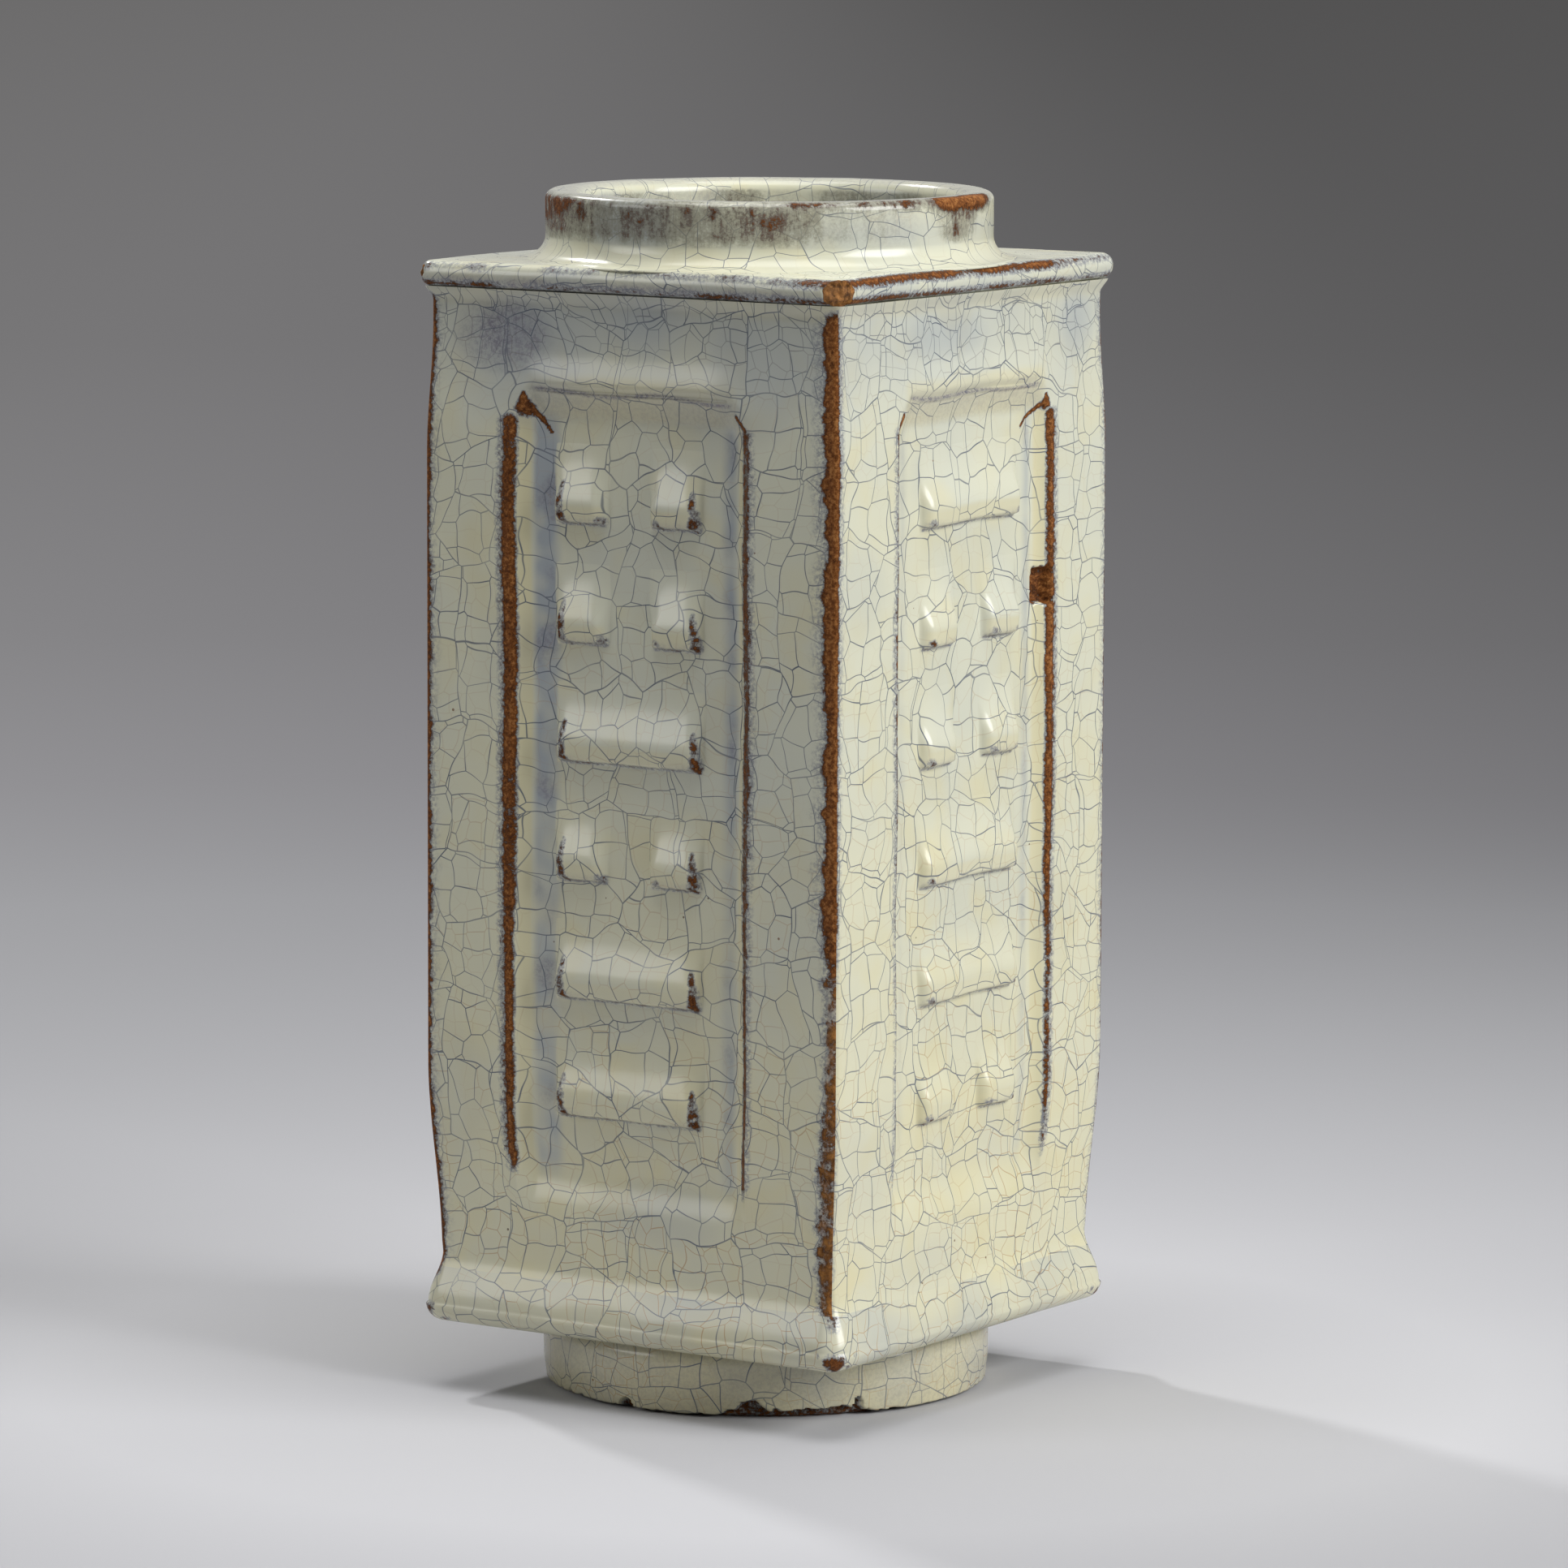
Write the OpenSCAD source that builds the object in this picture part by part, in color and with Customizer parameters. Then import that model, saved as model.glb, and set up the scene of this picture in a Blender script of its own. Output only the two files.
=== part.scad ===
// Slab-built cong vase: a square vessel with a round neck, a round foot and trigram lines on sunken panels.
// Millimetres, +Z up. The origin is the middle of the foot, on the surface that the vase stands on.
// The front face looks along -Y.

/* [Body] */
// Width of the square body across its faces
body_w = 114; // [108:1:130]
// Height of the slab walls
body_h = 229.5; // [225:0.5:260]
// Thickness of the slab walls
wall_t = 8; // [6:0.5:10]
// Radius of the upright outer corners
arris_r = 1.5; // [0.5:0.5:3]

/* [Sunken panel] */
// Width of the panel between its side edges
panel_w = 66.6; // [60:0.2:80]
// Height of the panel between its top and bottom edges
panel_h = 189.5; // [150:0.5:200]
// Plain band of wall below the panel
panel_rise = 17; // [10:0.5:22]
// Depth of the panel's field below the face
panel_depth = 3; // [1:0.5:4]
// Width of the slope along each side of the panel
side_slope = 6.2; // [2:0.2:8]
// Width of the slope along the top of the panel
top_slope = 6; // [2:0.2:8]
// Width of the soft slope along the bottom of the panel
foot_slope = 11; // [4:0.5:14]

/* [Trigram lines] */
// Length of a whole line
line_l = 37; // [30:0.5:50]
// Height of a line on the panel
line_h = 11.5; // [9:0.5:14]
// Gap in the middle of a broken line
line_gap = 13; // [8:0.5:16]
// How far a line stands out from the field
line_relief = 2.6; // [1:0.2:3]
// Width of the crisp slope at a line's lower edge and ends
crisp_slope = 0.8; // [0.4:0.1:1.4]
// Width of the soft slope at a line's upper edge
soft_slope = 5; // [2:0.5:6]
// Height of the lowest line above the panel's bottom edge
line_start = 22.2; // [16:0.2:24]
// Height of the panel left above the top line
line_end = 18.3; // [10:0.1:24]

/* [Shoulder plate] */
// Thickness of the shoulder plate
shoulder_t = 6; // [5.5:0.5:10]
// How far the shoulder plate overhangs the walls
shoulder_over = 2.1; // [1:0.1:4]
// Radius of the shoulder plate's edge
shoulder_edge_r = 2.5; // [1:0.1:2.7]
// Radius of the shoulder plate's corners, seen from above
shoulder_corner_r = 3.5; // [1:0.5:6]

/* [Base plate] */
// Thickness of the base plate
base_t = 13; // [11:0.5:18]
// How far the rolled edge overhangs the walls
base_over = 2.3; // [1:0.1:4]
// Radius of the roll's lower edge
roll_r = 4.5; // [2:0.5:6]
// Radius of the base plate's corners, seen from above
base_corner_r = 5; // [1:0.5:7]

/* [Neck ring] */
// Outer diameter of the neck
neck_d = 104; // [94:1:106]
// Wall of the neck
neck_t = 8; // [6:0.5:10]
// Height of the neck above the shoulder plate
neck_h = 15.5; // [12:0.5:24]
// Radius of the cove at the foot of the neck
cove_r = 4.4; // [2:0.2:6]
// Thickness of the cove's outer edge
cove_lip = 0.4; // [0.2:0.1:1]
// Radius of the rim's outer edge
rim_outer_r = 1.8; // [0.5:0.1:2.4]
// Radius of the rim's inner edge
rim_inner_r = 3; // [0.5:0.1:3.4]

/* [Foot ring] */
// Outer diameter of the foot
foot_d = 104; // [90:1:110]
// Wall of the foot ring
foot_t = 8; // [5:0.5:12]
// Height of the foot ring
foot_h = 16; // [8:0.5:24]
// Worn slope at both edges of the foot
foot_chamfer = 1; // [0.4:0.2:2]

/* [Inner coils] */
// Width of a coil's flattened sides
coil_leg = 4.5; // [3:0.5:8]

/* [Hidden] */

$fn = 96;
arc_steps = 8;
cut_over = 10; // how far a cutting shape reaches past what it cuts

half_w = body_w / 2;
cavity_w = body_w - 2 * wall_t;
field_y = -half_w + panel_depth;

// Heights of the seams, from the foot up
base_z = foot_h;
wall_z = base_z + base_t;
shoulder_z = wall_z + body_h;
neck_z = shoulder_z + shoulder_t;
rim_z = neck_z + neck_h;
panel_z = wall_z + panel_rise;
first_line_z = panel_z + line_start;

// The lines of a panel are spaced evenly from its lowest line to its top one
lines_each = 3;
panel_lines = 2 * lines_each;
line_pitch = (panel_h - line_start - line_h - line_end) / (panel_lines - 1);

neck_r = neck_d / 2;
mouth_r = neck_r - neck_t;
foot_r = foot_d / 2;

// The faces in their order round the body, a quarter turn apart
FACES = ["front", "right", "back", "left"];

// Lines of a trigram from its lowest line up: true is whole, false is broken
thunder = [true, false, false];
lake = [true, true, false];
mountain = [false, false, true];
wind = [false, true, true];
heaven = [true, true, true];
earth = [false, false, false];
water = [false, true, false];
fire = [true, false, true];

glaze_colour = "#dfe3d0";
face_colour = "#cfd5c6";
line_colour = "#e8ead9";
rim_colour = "#c3bdb0";
clay_colour = "#9a6a45";

// How far a face is turned from the front one
function turn_of(face) = search([face], FACES)[0] * 360 / len(FACES);

// Points along an arc, ends included
function arc(centre, r, from, to) =
    [for (i = [0:arc_steps])
        let (a = from + (to - from) * i / arc_steps)
        centre + r * [cos(a), sin(a)]];

// Right half of an outline, and the same mirrored, as one closed outline
function both_sides(half) =
    concat(half, [for (i = [len(half) - 1:-1:0]) [-half[i][0], half[i][1]]]);

// Square with rounded corners
function rounded_square(w, r) =
    let (c = w / 2 - r)
    [for (q = [0:3])
        let (a = q * 90, centre = c * [cos(a) - sin(a), sin(a) + cos(a)])
        each arc(centre, r, a, a + 90)];

// A slab whose four edges all follow one outline, which is drawn in width and height
module moulded_slab(outline, reach) {
    intersection() {
        rotate([90, 0, 0])
            linear_extrude(height = reach, center = true)
                polygon(outline);
        rotate([90, 0, 90])
            linear_extrude(height = reach, center = true)
                polygon(outline);
    }
}

// The space that the sunken panel takes out of the front wall
module panel_space() {
    run = (panel_depth + cut_over) / panel_depth;
    half_panel = panel_w / 2;
    top_z = panel_z + panel_h;
    out = -half_w - cut_over;
    intersection() {
        linear_extrude(height = rim_z)
            polygon([
                [-half_panel + side_slope, field_y],
                [half_panel - side_slope, field_y],
                [half_panel - side_slope + side_slope * run, out],
                [-half_panel + side_slope - side_slope * run, out]
            ]);
        rotate([90, 0, 90])
            linear_extrude(height = body_w, center = true)
                polygon([
                    [field_y, panel_z + foot_slope],
                    [field_y, top_z - top_slope],
                    [out, top_z - top_slope + top_slope * run],
                    [out, panel_z + foot_slope - foot_slope * run]
                ]);
    }
}

// One slab wall, drawn as the front one: mitred upright edges and a sunken panel
module wall(face) {
    inner = cavity_w / 2;
    outer = half_w + cut_over;
    rotate([0, 0, turn_of(face)])
        difference() {
            translate([0, 0, wall_z])
                linear_extrude(height = body_h)
                    intersection() {
                        polygon(rounded_square(body_w, arris_r));
                        polygon([[-inner, -inner], [-outer, -outer], [outer, -outer], [inner, -inner]]);
                    }
            panel_space();
        }
}

module wall_front() {
    color(face_colour) wall("front");
}

module wall_right() {
    color(face_colour) wall("right");
}

module wall_back() {
    color(face_colour) wall("back");
}

module wall_left() {
    color(face_colour) wall("left");
}

// Top slab: rounded overhanging edge, and the mouth hole
module shoulder_plate() {
    edge = half_w + shoulder_over;
    r = shoulder_edge_r;
    outline = concat(
        arc([edge - r, r], r, -90, 0),
        arc([edge - r, shoulder_t - r], r, 0, 90)
    );
    color(glaze_colour)
        translate([0, 0, shoulder_z])
            difference() {
                intersection() {
                    moulded_slab(both_sides(outline), 2 * edge + cut_over);
                    linear_extrude(height = shoulder_t)
                        polygon(rounded_square(2 * edge, shoulder_corner_r));
                }
                translate([0, 0, -cut_over])
                    cylinder(h = shoulder_t + 2 * cut_over, r = mouth_r);
            }
}

// Bottom slab: a rolled overhanging edge that sweeps up into the walls
module base_plate() {
    edge = half_w + base_over;
    sweep_h = base_t - roll_r;
    sweep_r = (base_over * base_over + sweep_h * sweep_h) / (4 * base_over);
    sweep_a = asin(sweep_h / 2 / sweep_r);
    outline = concat(
        arc([edge - roll_r, roll_r], roll_r, -90, 0),
        arc([edge - sweep_r, roll_r], sweep_r, 0, sweep_a),
        arc([half_w + sweep_r, base_t], sweep_r, 180 + sweep_a, 180)
    );
    color(glaze_colour)
        translate([0, 0, base_z])
            intersection() {
                moulded_slab(both_sides(outline), 2 * edge + cut_over);
                linear_extrude(height = base_t)
                    polygon(rounded_square(2 * edge, base_corner_r));
            }
}

// Round neck: a cove at its foot and a rounded rim
module neck_ring() {
    outline = concat(
        [[mouth_r, 0], [neck_r + cove_r, 0]],
        arc([neck_r + cove_r, cove_lip + cove_r], cove_r, 270, 180),
        arc([neck_r - rim_outer_r, neck_h - rim_outer_r], rim_outer_r, 0, 90),
        arc([mouth_r + rim_inner_r, neck_h - rim_inner_r], rim_inner_r, 90, 180)
    );
    color(rim_colour)
        translate([0, 0, neck_z])
            rotate_extrude()
                polygon(outline);
}

// Round foot with worn edges
module foot_ring() {
    inner = foot_r - foot_t;
    color(glaze_colour)
        rotate_extrude()
            polygon([
                [inner + foot_chamfer, 0],
                [foot_r - foot_chamfer, 0],
                [foot_r, foot_chamfer],
                [foot_r, foot_h],
                [inner, foot_h],
                [inner, foot_chamfer]
            ]);
}

// One raised block of a trigram line: crisp below and at its ends, soft above
module block(length) {
    half_l = length / 2;
    out = field_y - line_relief;
    intersection() {
        rotate([90, 0, 90])
            linear_extrude(height = length, center = true)
                polygon([
                    [field_y, 0],
                    [field_y, line_h],
                    [out, line_h - soft_slope],
                    [out, crisp_slope]
                ]);
        linear_extrude(height = line_h)
            polygon([
                [-half_l, field_y],
                [half_l, field_y],
                [half_l - crisp_slope, out],
                [-half_l + crisp_slope, out]
            ]);
    }
}

// Three lines on the field of one face, counted up from that panel's lowest line
module trigram(lines, face, first) {
    block_l = (line_l - line_gap) / 2;
    block_x = (line_l - block_l) / 2;
    color(line_colour)
        rotate([0, 0, turn_of(face)])
            for (i = [0:lines_each - 1])
                translate([0, 0, first_line_z + (first + i) * line_pitch])
                    if (lines[i])
                        block(line_l);
                    else
                        for (side = [-1, 1])
                            translate([side * block_x, 0, 0])
                                block(block_l);
}

module trigram_thunder() {
    trigram(thunder, "front", lines_each);
}

module trigram_lake() {
    trigram(lake, "front", 0);
}

module trigram_mountain() {
    trigram(mountain, "right", lines_each);
}

module trigram_wind() {
    trigram(wind, "right", 0);
}

module trigram_heaven() {
    trigram(heaven, "back", lines_each);
}

module trigram_earth() {
    trigram(earth, "back", 0);
}

module trigram_water() {
    trigram(water, "left", lines_each);
}

module trigram_fire() {
    trigram(fire, "left", 0);
}

// Clay coil pressed flat into the upright inside corner at the right-hand end of a face
module corner_coil(face) {
    c = cavity_w / 2;
    color(clay_colour)
        rotate([0, 0, turn_of(face)])
            translate([0, 0, wall_z + coil_leg])
                linear_extrude(height = body_h - 2 * coil_leg)
                    polygon([[c, -c], [c, -c + coil_leg], [c - coil_leg, -c]]);
}

module coil_front_right() {
    corner_coil("front");
}

module coil_back_right() {
    corner_coil("right");
}

module coil_back_left() {
    corner_coil("back");
}

module coil_front_left() {
    corner_coil("left");
}

// Clay coil pressed flat round a level seam: as wide as coil_leg at the slab, and nothing at its other edge
module seam_coil() {
    c = cavity_w / 2;
    run = (coil_leg + cut_over) / coil_leg;
    wide = c - coil_leg + coil_leg * run;
    narrow = c - coil_leg - cut_over;
    color(clay_colour)
        difference() {
            translate([-c, -c, 0])
                cube([cavity_w, cavity_w, coil_leg]);
            moulded_slab(both_sides([[narrow, -cut_over], [wide, coil_leg + cut_over]]), cavity_w + 2 * cut_over);
        }
}

module base_coil() {
    translate([0, 0, wall_z])
        seam_coil();
}

module shoulder_coil() {
    translate([0, 0, shoulder_z])
        mirror([0, 0, 1])
            seam_coil();
}

wall_front();
wall_right();
wall_back();
wall_left();
shoulder_plate();
base_plate();
neck_ring();
foot_ring();
trigram_thunder();
trigram_lake();
trigram_mountain();
trigram_wind();
trigram_heaven();
trigram_earth();
trigram_water();
trigram_fire();
coil_front_right();
coil_back_right();
coil_back_left();
coil_front_left();
base_coil();
shoulder_coil();
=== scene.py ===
import math
import bmesh
import bpy
from mathutils import Matrix, Vector, noise


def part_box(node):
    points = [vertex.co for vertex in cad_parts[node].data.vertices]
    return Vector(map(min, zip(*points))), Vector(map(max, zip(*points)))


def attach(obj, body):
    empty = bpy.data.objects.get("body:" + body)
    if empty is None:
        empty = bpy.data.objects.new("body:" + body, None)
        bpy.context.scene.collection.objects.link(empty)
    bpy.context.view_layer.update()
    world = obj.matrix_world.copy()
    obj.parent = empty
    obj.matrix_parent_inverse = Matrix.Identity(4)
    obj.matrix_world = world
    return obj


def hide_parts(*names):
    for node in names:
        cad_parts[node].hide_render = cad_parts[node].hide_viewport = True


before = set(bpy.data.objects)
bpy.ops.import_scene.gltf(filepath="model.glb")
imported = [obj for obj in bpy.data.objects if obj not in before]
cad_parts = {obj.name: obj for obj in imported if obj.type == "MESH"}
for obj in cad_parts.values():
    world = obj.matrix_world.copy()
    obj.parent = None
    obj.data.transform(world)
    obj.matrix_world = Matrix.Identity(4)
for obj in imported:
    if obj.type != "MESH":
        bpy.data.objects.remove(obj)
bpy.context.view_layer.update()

mm = 0.001  # sizes below are in millimetres, the scene is in metres
quarterTurn = math.pi / 2


def ease(start, end, value):  # 0 at start, 1 at end, soft at both
    part = min(max((value - start) / (end - start), 0), 1)
    return part * part * (3 - 2 * part)


def ramp(start, end, value):  # 0 at start, 1 at end, straight
    return min(max((value - start) / (end - start), 0), 1)


def mottle(point, size, seed=0):  # smooth unevenness of one size, about -1 to 1
    return noise.noise(Vector(point) / size + Vector((seed * 17.3, seed * 5.1, seed * 9.7)))


def ticks(stops):  # places along a line, from stops of (place, step up to the next stop)
    places = []
    for (start, step), (end, _) in zip(stops, stops[1:]):
        count = max(1, round((end - start) / step))
        places += [start + (end - start) * i / count for i in range(count)]
    return places + [stops[-1][0]]


def hexColour(text):  # sRGB hex to the linear colour that the nodes take
    parts = [int(text[i:i + 2], 16) / 255 for i in (1, 3, 5)]
    return [p / 12.92 if p <= 0.04045 else ((p + 0.055) / 1.055) ** 2.4 for p in parts] + [1]


def addNode(tree, kind, settings=None, links=None):  # a link is from a socket, or a node's first output
    node = tree.nodes.new("ShaderNode" + kind)
    for key, value in (settings or {}).items():
        if isinstance(key, int) or key in node.inputs:
            node.inputs[key].default_value = value
        else:
            setattr(node, key, value)
    for key, source in (links or {}).items():
        tree.links.new(getattr(source, "outputs", [source])[0], node.inputs[key])
    return node


def newMaterial(name):  # with an empty tree
    material = bpy.data.materials.new(name)
    material.use_nodes = True
    material.node_tree.nodes.clear()
    return material, material.node_tree


smooth = {"interpolation_type": "SMOOTHSTEP"}  # for a range that is soft at both ends
colourMix = {"data_type": "RGBA"}

# The glaze is painted on each mesh as five amounts, from 0 to 1, which the materials turn into colour. The
# cloudy amount also carries painted shade.
# The cracks follow a flow map: millimetres round the vase and up its surface
paintNames = ("thinGlaze", "warmGlaze", "pooledGlaze", "cloudyGlazeAndShade", "bareClay")


def paintLayers(bm):
    amounts = [bm.verts.layers.float.new(name) for name in paintNames]
    return amounts + [bm.verts.layers.float_vector.new("flow")]


def paint(vert, layers, amounts, flow):
    for layer, amount in zip(layers, amounts):
        vert[layer] = min(max(amount, 0), 1)
    vert[layers[-1]] = (flow[0] * mm, flow[1] * mm, 0)


def layFlow(bm, girth):  # the flow map starts and ends at the back left corner
    flow = bm.verts.layers.float_vector["flow"]
    flowMap = bm.loops.layers.uv.new("glazeFlow")
    bm.normal_update()
    for made in bm.faces:
        if len(made.verts) > 4 and abs(made.normal.z) > 0.9:  # a level cap is mapped from above
            for loop in made.loops:
                loop[flowMap].uv = loop.vert.co.xy
            continue
        rounds = [loop.vert[flow].x for loop in made.loops]
        wraps = max(rounds) - min(rounds) > girth * mm / 2
        for loop, u in zip(made.loops, rounds):
            step = girth * mm if wraps and u < max(rounds) - girth * mm / 2 else 0
            loop[flowMap].uv = (u + step, loop.vert[flow].y)
    bm.verts.layers.float_vector.remove(flow)


def finishPiece(bm, name, nodes, material, girth):
    bmesh.ops.recalc_face_normals(bm, faces=bm.faces)
    layFlow(bm, girth)
    mesh = bpy.data.meshes.new(name)
    bm.to_mesh(mesh)
    bm.free()
    mesh.materials.append(material)
    piece = bpy.data.objects.new(name, mesh)
    bpy.context.collection.objects.link(piece)
    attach(piece, "root")
    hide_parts(*nodes)
    print(name, len(mesh.polygons), "faces")


# Crackled stoneware glaze, dipped and fired: a pale grey-green gloss, stained dark in its cracks, blue
# where it ran thick, and rust brown where it ran thin over an edge and the iron body shows
crackleLook = dict(
    pale="#d9d8bf", grey="#d0d2c2", cream="#d8d0a6", blue="#a5acb0", cloudAndShade="#716d7c",
    halo="#85888f", dark="#54443e", rust="#7a4820", rustLight="#ae7843", rustDark="#44260f",
    crack="#5d6573", fineCrack="#b08d62", clay="#b07a42", clayDark="#5a3a20",
    cellSize=16.0, subCellSize=7.6, fineCellSize=4.8,
    crackWidth=0.27, subCrackWidth=0.24, fineCrackWidth=0.2,  # about twice as wide as real ones, to show
    bendSize=24.0, bendReach=12.0, gritSize=0.9, streakSize=2.2, waveSize=11.0,
    roughness=0.2, roughThin=0.5, roughClay=0.9, shine=0.5, shineThin=0.12, gritReach=1.5,
)


def makeGlaze(name, look, streaks):
    material, tree = newMaterial(name)
    place = addNode(tree, "TexCoord").outputs["Object"]

    # Bend the place a little, so that the cracks run in curves
    bend = addNode(tree, "TexNoise",
                   {"Scale": 1 / (look["bendSize"] * mm), "Detail": 2.0, "Roughness": 0.5},
                   {"Vector": place})
    centred = addNode(tree, "VectorMath", {"operation": "SUBTRACT", 1: (0.5, 0.5, 0.5)},
                      {0: bend.outputs["Color"]})
    reach = addNode(tree, "VectorMath", {"operation": "SCALE", "Scale": look["bendReach"] * mm},
                    {0: centred})
    flow = addNode(tree, "UVMap", {"uv_map": "glazeFlow"}).outputs["UV"]
    bent = addNode(tree, "VectorMath", {"operation": "ADD"}, {0: flow, 1: reach}).outputs[0]

    # First cracks, then younger ones that stop at them, then fine rusty ones
    cellScale = 1 / (look["cellSize"] * mm)
    flat = {"voronoi_dimensions": "2D", "Randomness": 0.62}
    cells = addNode(tree, "TexVoronoi", flat | {"feature": "F1", "Scale": cellScale}, {"Vector": bent})
    cracks = addNode(tree, "TexVoronoi", flat | {"feature": "DISTANCE_TO_EDGE", "Scale": cellScale},
                     {"Vector": bent})
    jump = addNode(tree, "VectorMath", {"operation": "SCALE", "Scale": 0.2}, {0: cells.outputs["Color"]})
    shifted = addNode(tree, "VectorMath", {"operation": "ADD"}, {0: bent, 1: jump}).outputs[0]
    subScale = 1 / (look["subCellSize"] * mm)
    subCracks = addNode(tree, "TexVoronoi",
                        flat | {"feature": "DISTANCE_TO_EDGE", "Scale": subScale, "Randomness": 0.52},
                        {"Vector": shifted})
    fineScale = 1 / (look["fineCellSize"] * mm)
    fineCracks = addNode(tree, "TexVoronoi", flat | {"feature": "DISTANCE_TO_EDGE", "Scale": fineScale},
                         {"Vector": shifted})
    lines = []
    ages = ((cracks, cellScale, look["crackWidth"]), (subCracks, subScale, look["subCrackWidth"]),
            (fineCracks, fineScale, look["fineCrackWidth"]))
    for source, scale, width in ages:
        half = width * mm * scale / 2
        lines.append(addNode(tree, "MapRange", smooth | {"From Min": half * 0.4, "From Max": half * 1.5,
                                                         "To Min": 1.0, "To Max": 0.0}, {"Value": source}))

    # Each crack is stained unevenly along its length
    stain = addNode(tree, "TexNoise", {"Scale": 1 / (9 * mm), "Detail": 2.0}, {"Vector": place})
    stainDeep = addNode(tree, "MapRange", {"From Min": 0.3, "From Max": 0.7, "To Min": 0.55, "To Max": 1.0},
                        {"Value": stain})
    bothLines = addNode(tree, "Math", {"operation": "MAXIMUM"}, {0: lines[0], 1: lines[1]})
    split = addNode(tree, "SeparateXYZ", {}, {0: place})
    highUp = addNode(tree, "MapRange", {"From Min": 0.234, "From Max": 0.252, "To Max": 0.8},
                     {"Value": split.outputs["Z"]})
    onWall = addNode(tree, "Math", {"operation": "LESS_THAN", 1: 0.2585}, {0: split.outputs["Z"]})
    topLines = addNode(tree, "Math", {"operation": "MULTIPLY"}, {0: lines[2], 1: highUp})
    wallLines = addNode(tree, "Math", {"operation": "MULTIPLY"}, {0: topLines, 1: onWall})
    allLines = addNode(tree, "Math", {"operation": "MAXIMUM"}, {0: bothLines, 1: wallLines})
    crackAmount = addNode(tree, "Math", {"operation": "MULTIPLY"}, {0: allLines, 1: stainDeep})
    lowDown = addNode(tree, "MapRange", {"From Min": 0.02, "From Max": 0.2, "To Min": 0.75, "To Max": 0.16},
                      {"Value": split.outputs["Z"]})
    patches = addNode(tree, "TexNoise", {"Scale": 1 / (26 * mm), "Detail": 1.0}, {"Vector": shifted})
    patchy = addNode(tree, "MapRange", {"From Min": 0.35, "From Max": 0.6}, {"Value": patches})
    fineWhere = addNode(tree, "Math", {"operation": "MULTIPLY"}, {0: lowDown, 1: patchy})
    fineAmount = addNode(tree, "Math", {"operation": "MULTIPLY"}, {0: lines[2], 1: fineWhere})

    # Painted amounts, with the thin glaze broken up by grit and, on the neck, by runs
    amounts = {p: addNode(tree, "Attribute", {"attribute_name": p}).outputs["Fac"] for p in paintNames}
    grit = addNode(tree, "TexNoise",
                   {"Scale": 1 / (look["gritSize"] * mm), "Detail": 4.0, "Roughness": 0.75},
                   {"Vector": place})
    drawn = addNode(tree, "Mapping", {"Scale": (1, 1, 0.16)}, {"Vector": place})
    runs = addNode(tree, "TexNoise",
                   {"Scale": 1 / (look["streakSize"] * mm), "Detail": 3.0, "Roughness": 0.6},
                   {"Vector": drawn})
    gritOnly = addNode(tree, "Math", {"operation": "SUBTRACT", 1: 0.5}, {0: grit})
    runsOnly = addNode(tree, "Math", {"operation": "SUBTRACT", 1: 0.5}, {0: runs})
    gritPart = addNode(tree, "Math", {"operation": "MULTIPLY", 1: look["gritReach"]}, {0: gritOnly})
    rough = addNode(tree, "Math", {"operation": "MULTIPLY_ADD", 1: streaks}, {0: runsOnly, 2: gritPart})
    edgeOnly = addNode(tree, "MapRange", smooth | {"From Min": 0.02, "From Max": 0.3},
                       {"Value": amounts["thinGlaze"]})
    calm = addNode(tree, "MapRange", {"From Min": 0.5, "From Max": 0.95, "To Min": 1.0, "To Max": 0.5},
                   {"Value": amounts["thinGlaze"]})
    edgeGrit = addNode(tree, "Math", {"operation": "MULTIPLY"}, {0: edgeOnly, 1: calm})
    thin = addNode(tree, "Math", {"operation": "MULTIPLY_ADD"},
                   {0: rough, 1: edgeGrit, 2: amounts["thinGlaze"]}).outputs[0]

    # Glaze colour: grey-green, creamier in patches, blue where it pooled, and a speckled violet cloud under
    # the shoulder. The same violet layer also paints shade: in the panels' top creases, under their top
    # rolls, along the bars' lower edges, under the shoulder's roll and on the foot
    drift = addNode(tree, "TexNoise", {"Scale": 1 / (45 * mm), "Detail": 3.0}, {"Vector": place})
    driftMore = addNode(tree, "MapRange", {"From Min": 0.35, "From Max": 0.65}, {"Value": drift})
    body = addNode(tree, "Mix", colourMix | {6: hexColour(look["pale"]), 7: hexColour(look["grey"])},
                   {0: driftMore})
    warm = addNode(tree, "TexNoise", {"Scale": 1 / (16 * mm), "Detail": 2.0}, {"Vector": shifted})
    warmMore = addNode(tree, "MapRange", {"From Min": 0.48, "From Max": 0.72, "To Max": 0.48},
                       {"Value": warm})
    warmLow = addNode(tree, "MapRange", {"From Min": 0.0, "From Max": 0.17, "To Min": 0.5, "To Max": 0.0},
                      {"Value": split.outputs["Z"]})
    warmAll = addNode(tree, "Math", {"operation": "ADD"}, {0: warmMore, 1: warmLow})
    warmMost = addNode(tree, "Math", {"operation": "MAXIMUM"}, {0: warmAll, 1: amounts["warmGlaze"]})
    cloudAndShadeGrit = addNode(tree, "MapRange", smooth | {"From Min": 0.42, "From Max": 0.62}, {"Value": grit})
    cloudAndShadeSoft = addNode(tree, "Math", {"operation": "MULTIPLY_ADD", 1: 0.5, 2: 0.4}, {0: cloudAndShadeGrit})
    cloudAndShadeAmount = addNode(tree, "Math", {"operation": "MULTIPLY"},
                          {0: cloudAndShadeSoft, 1: amounts["cloudyGlazeAndShade"]})
    layers = body.outputs[2]
    for colour, amount in (("cream", warmMost), ("blue", amounts["pooledGlaze"]), ("cloudAndShade", cloudAndShadeAmount),
                           ("fineCrack", fineAmount), ("crack", crackAmount)):  # the cracks lie over the rest
        layers = addNode(tree, "Mix", colourMix | {7: hexColour(look[colour])},
                         {0: amount, 6: layers}).outputs[2]

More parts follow.
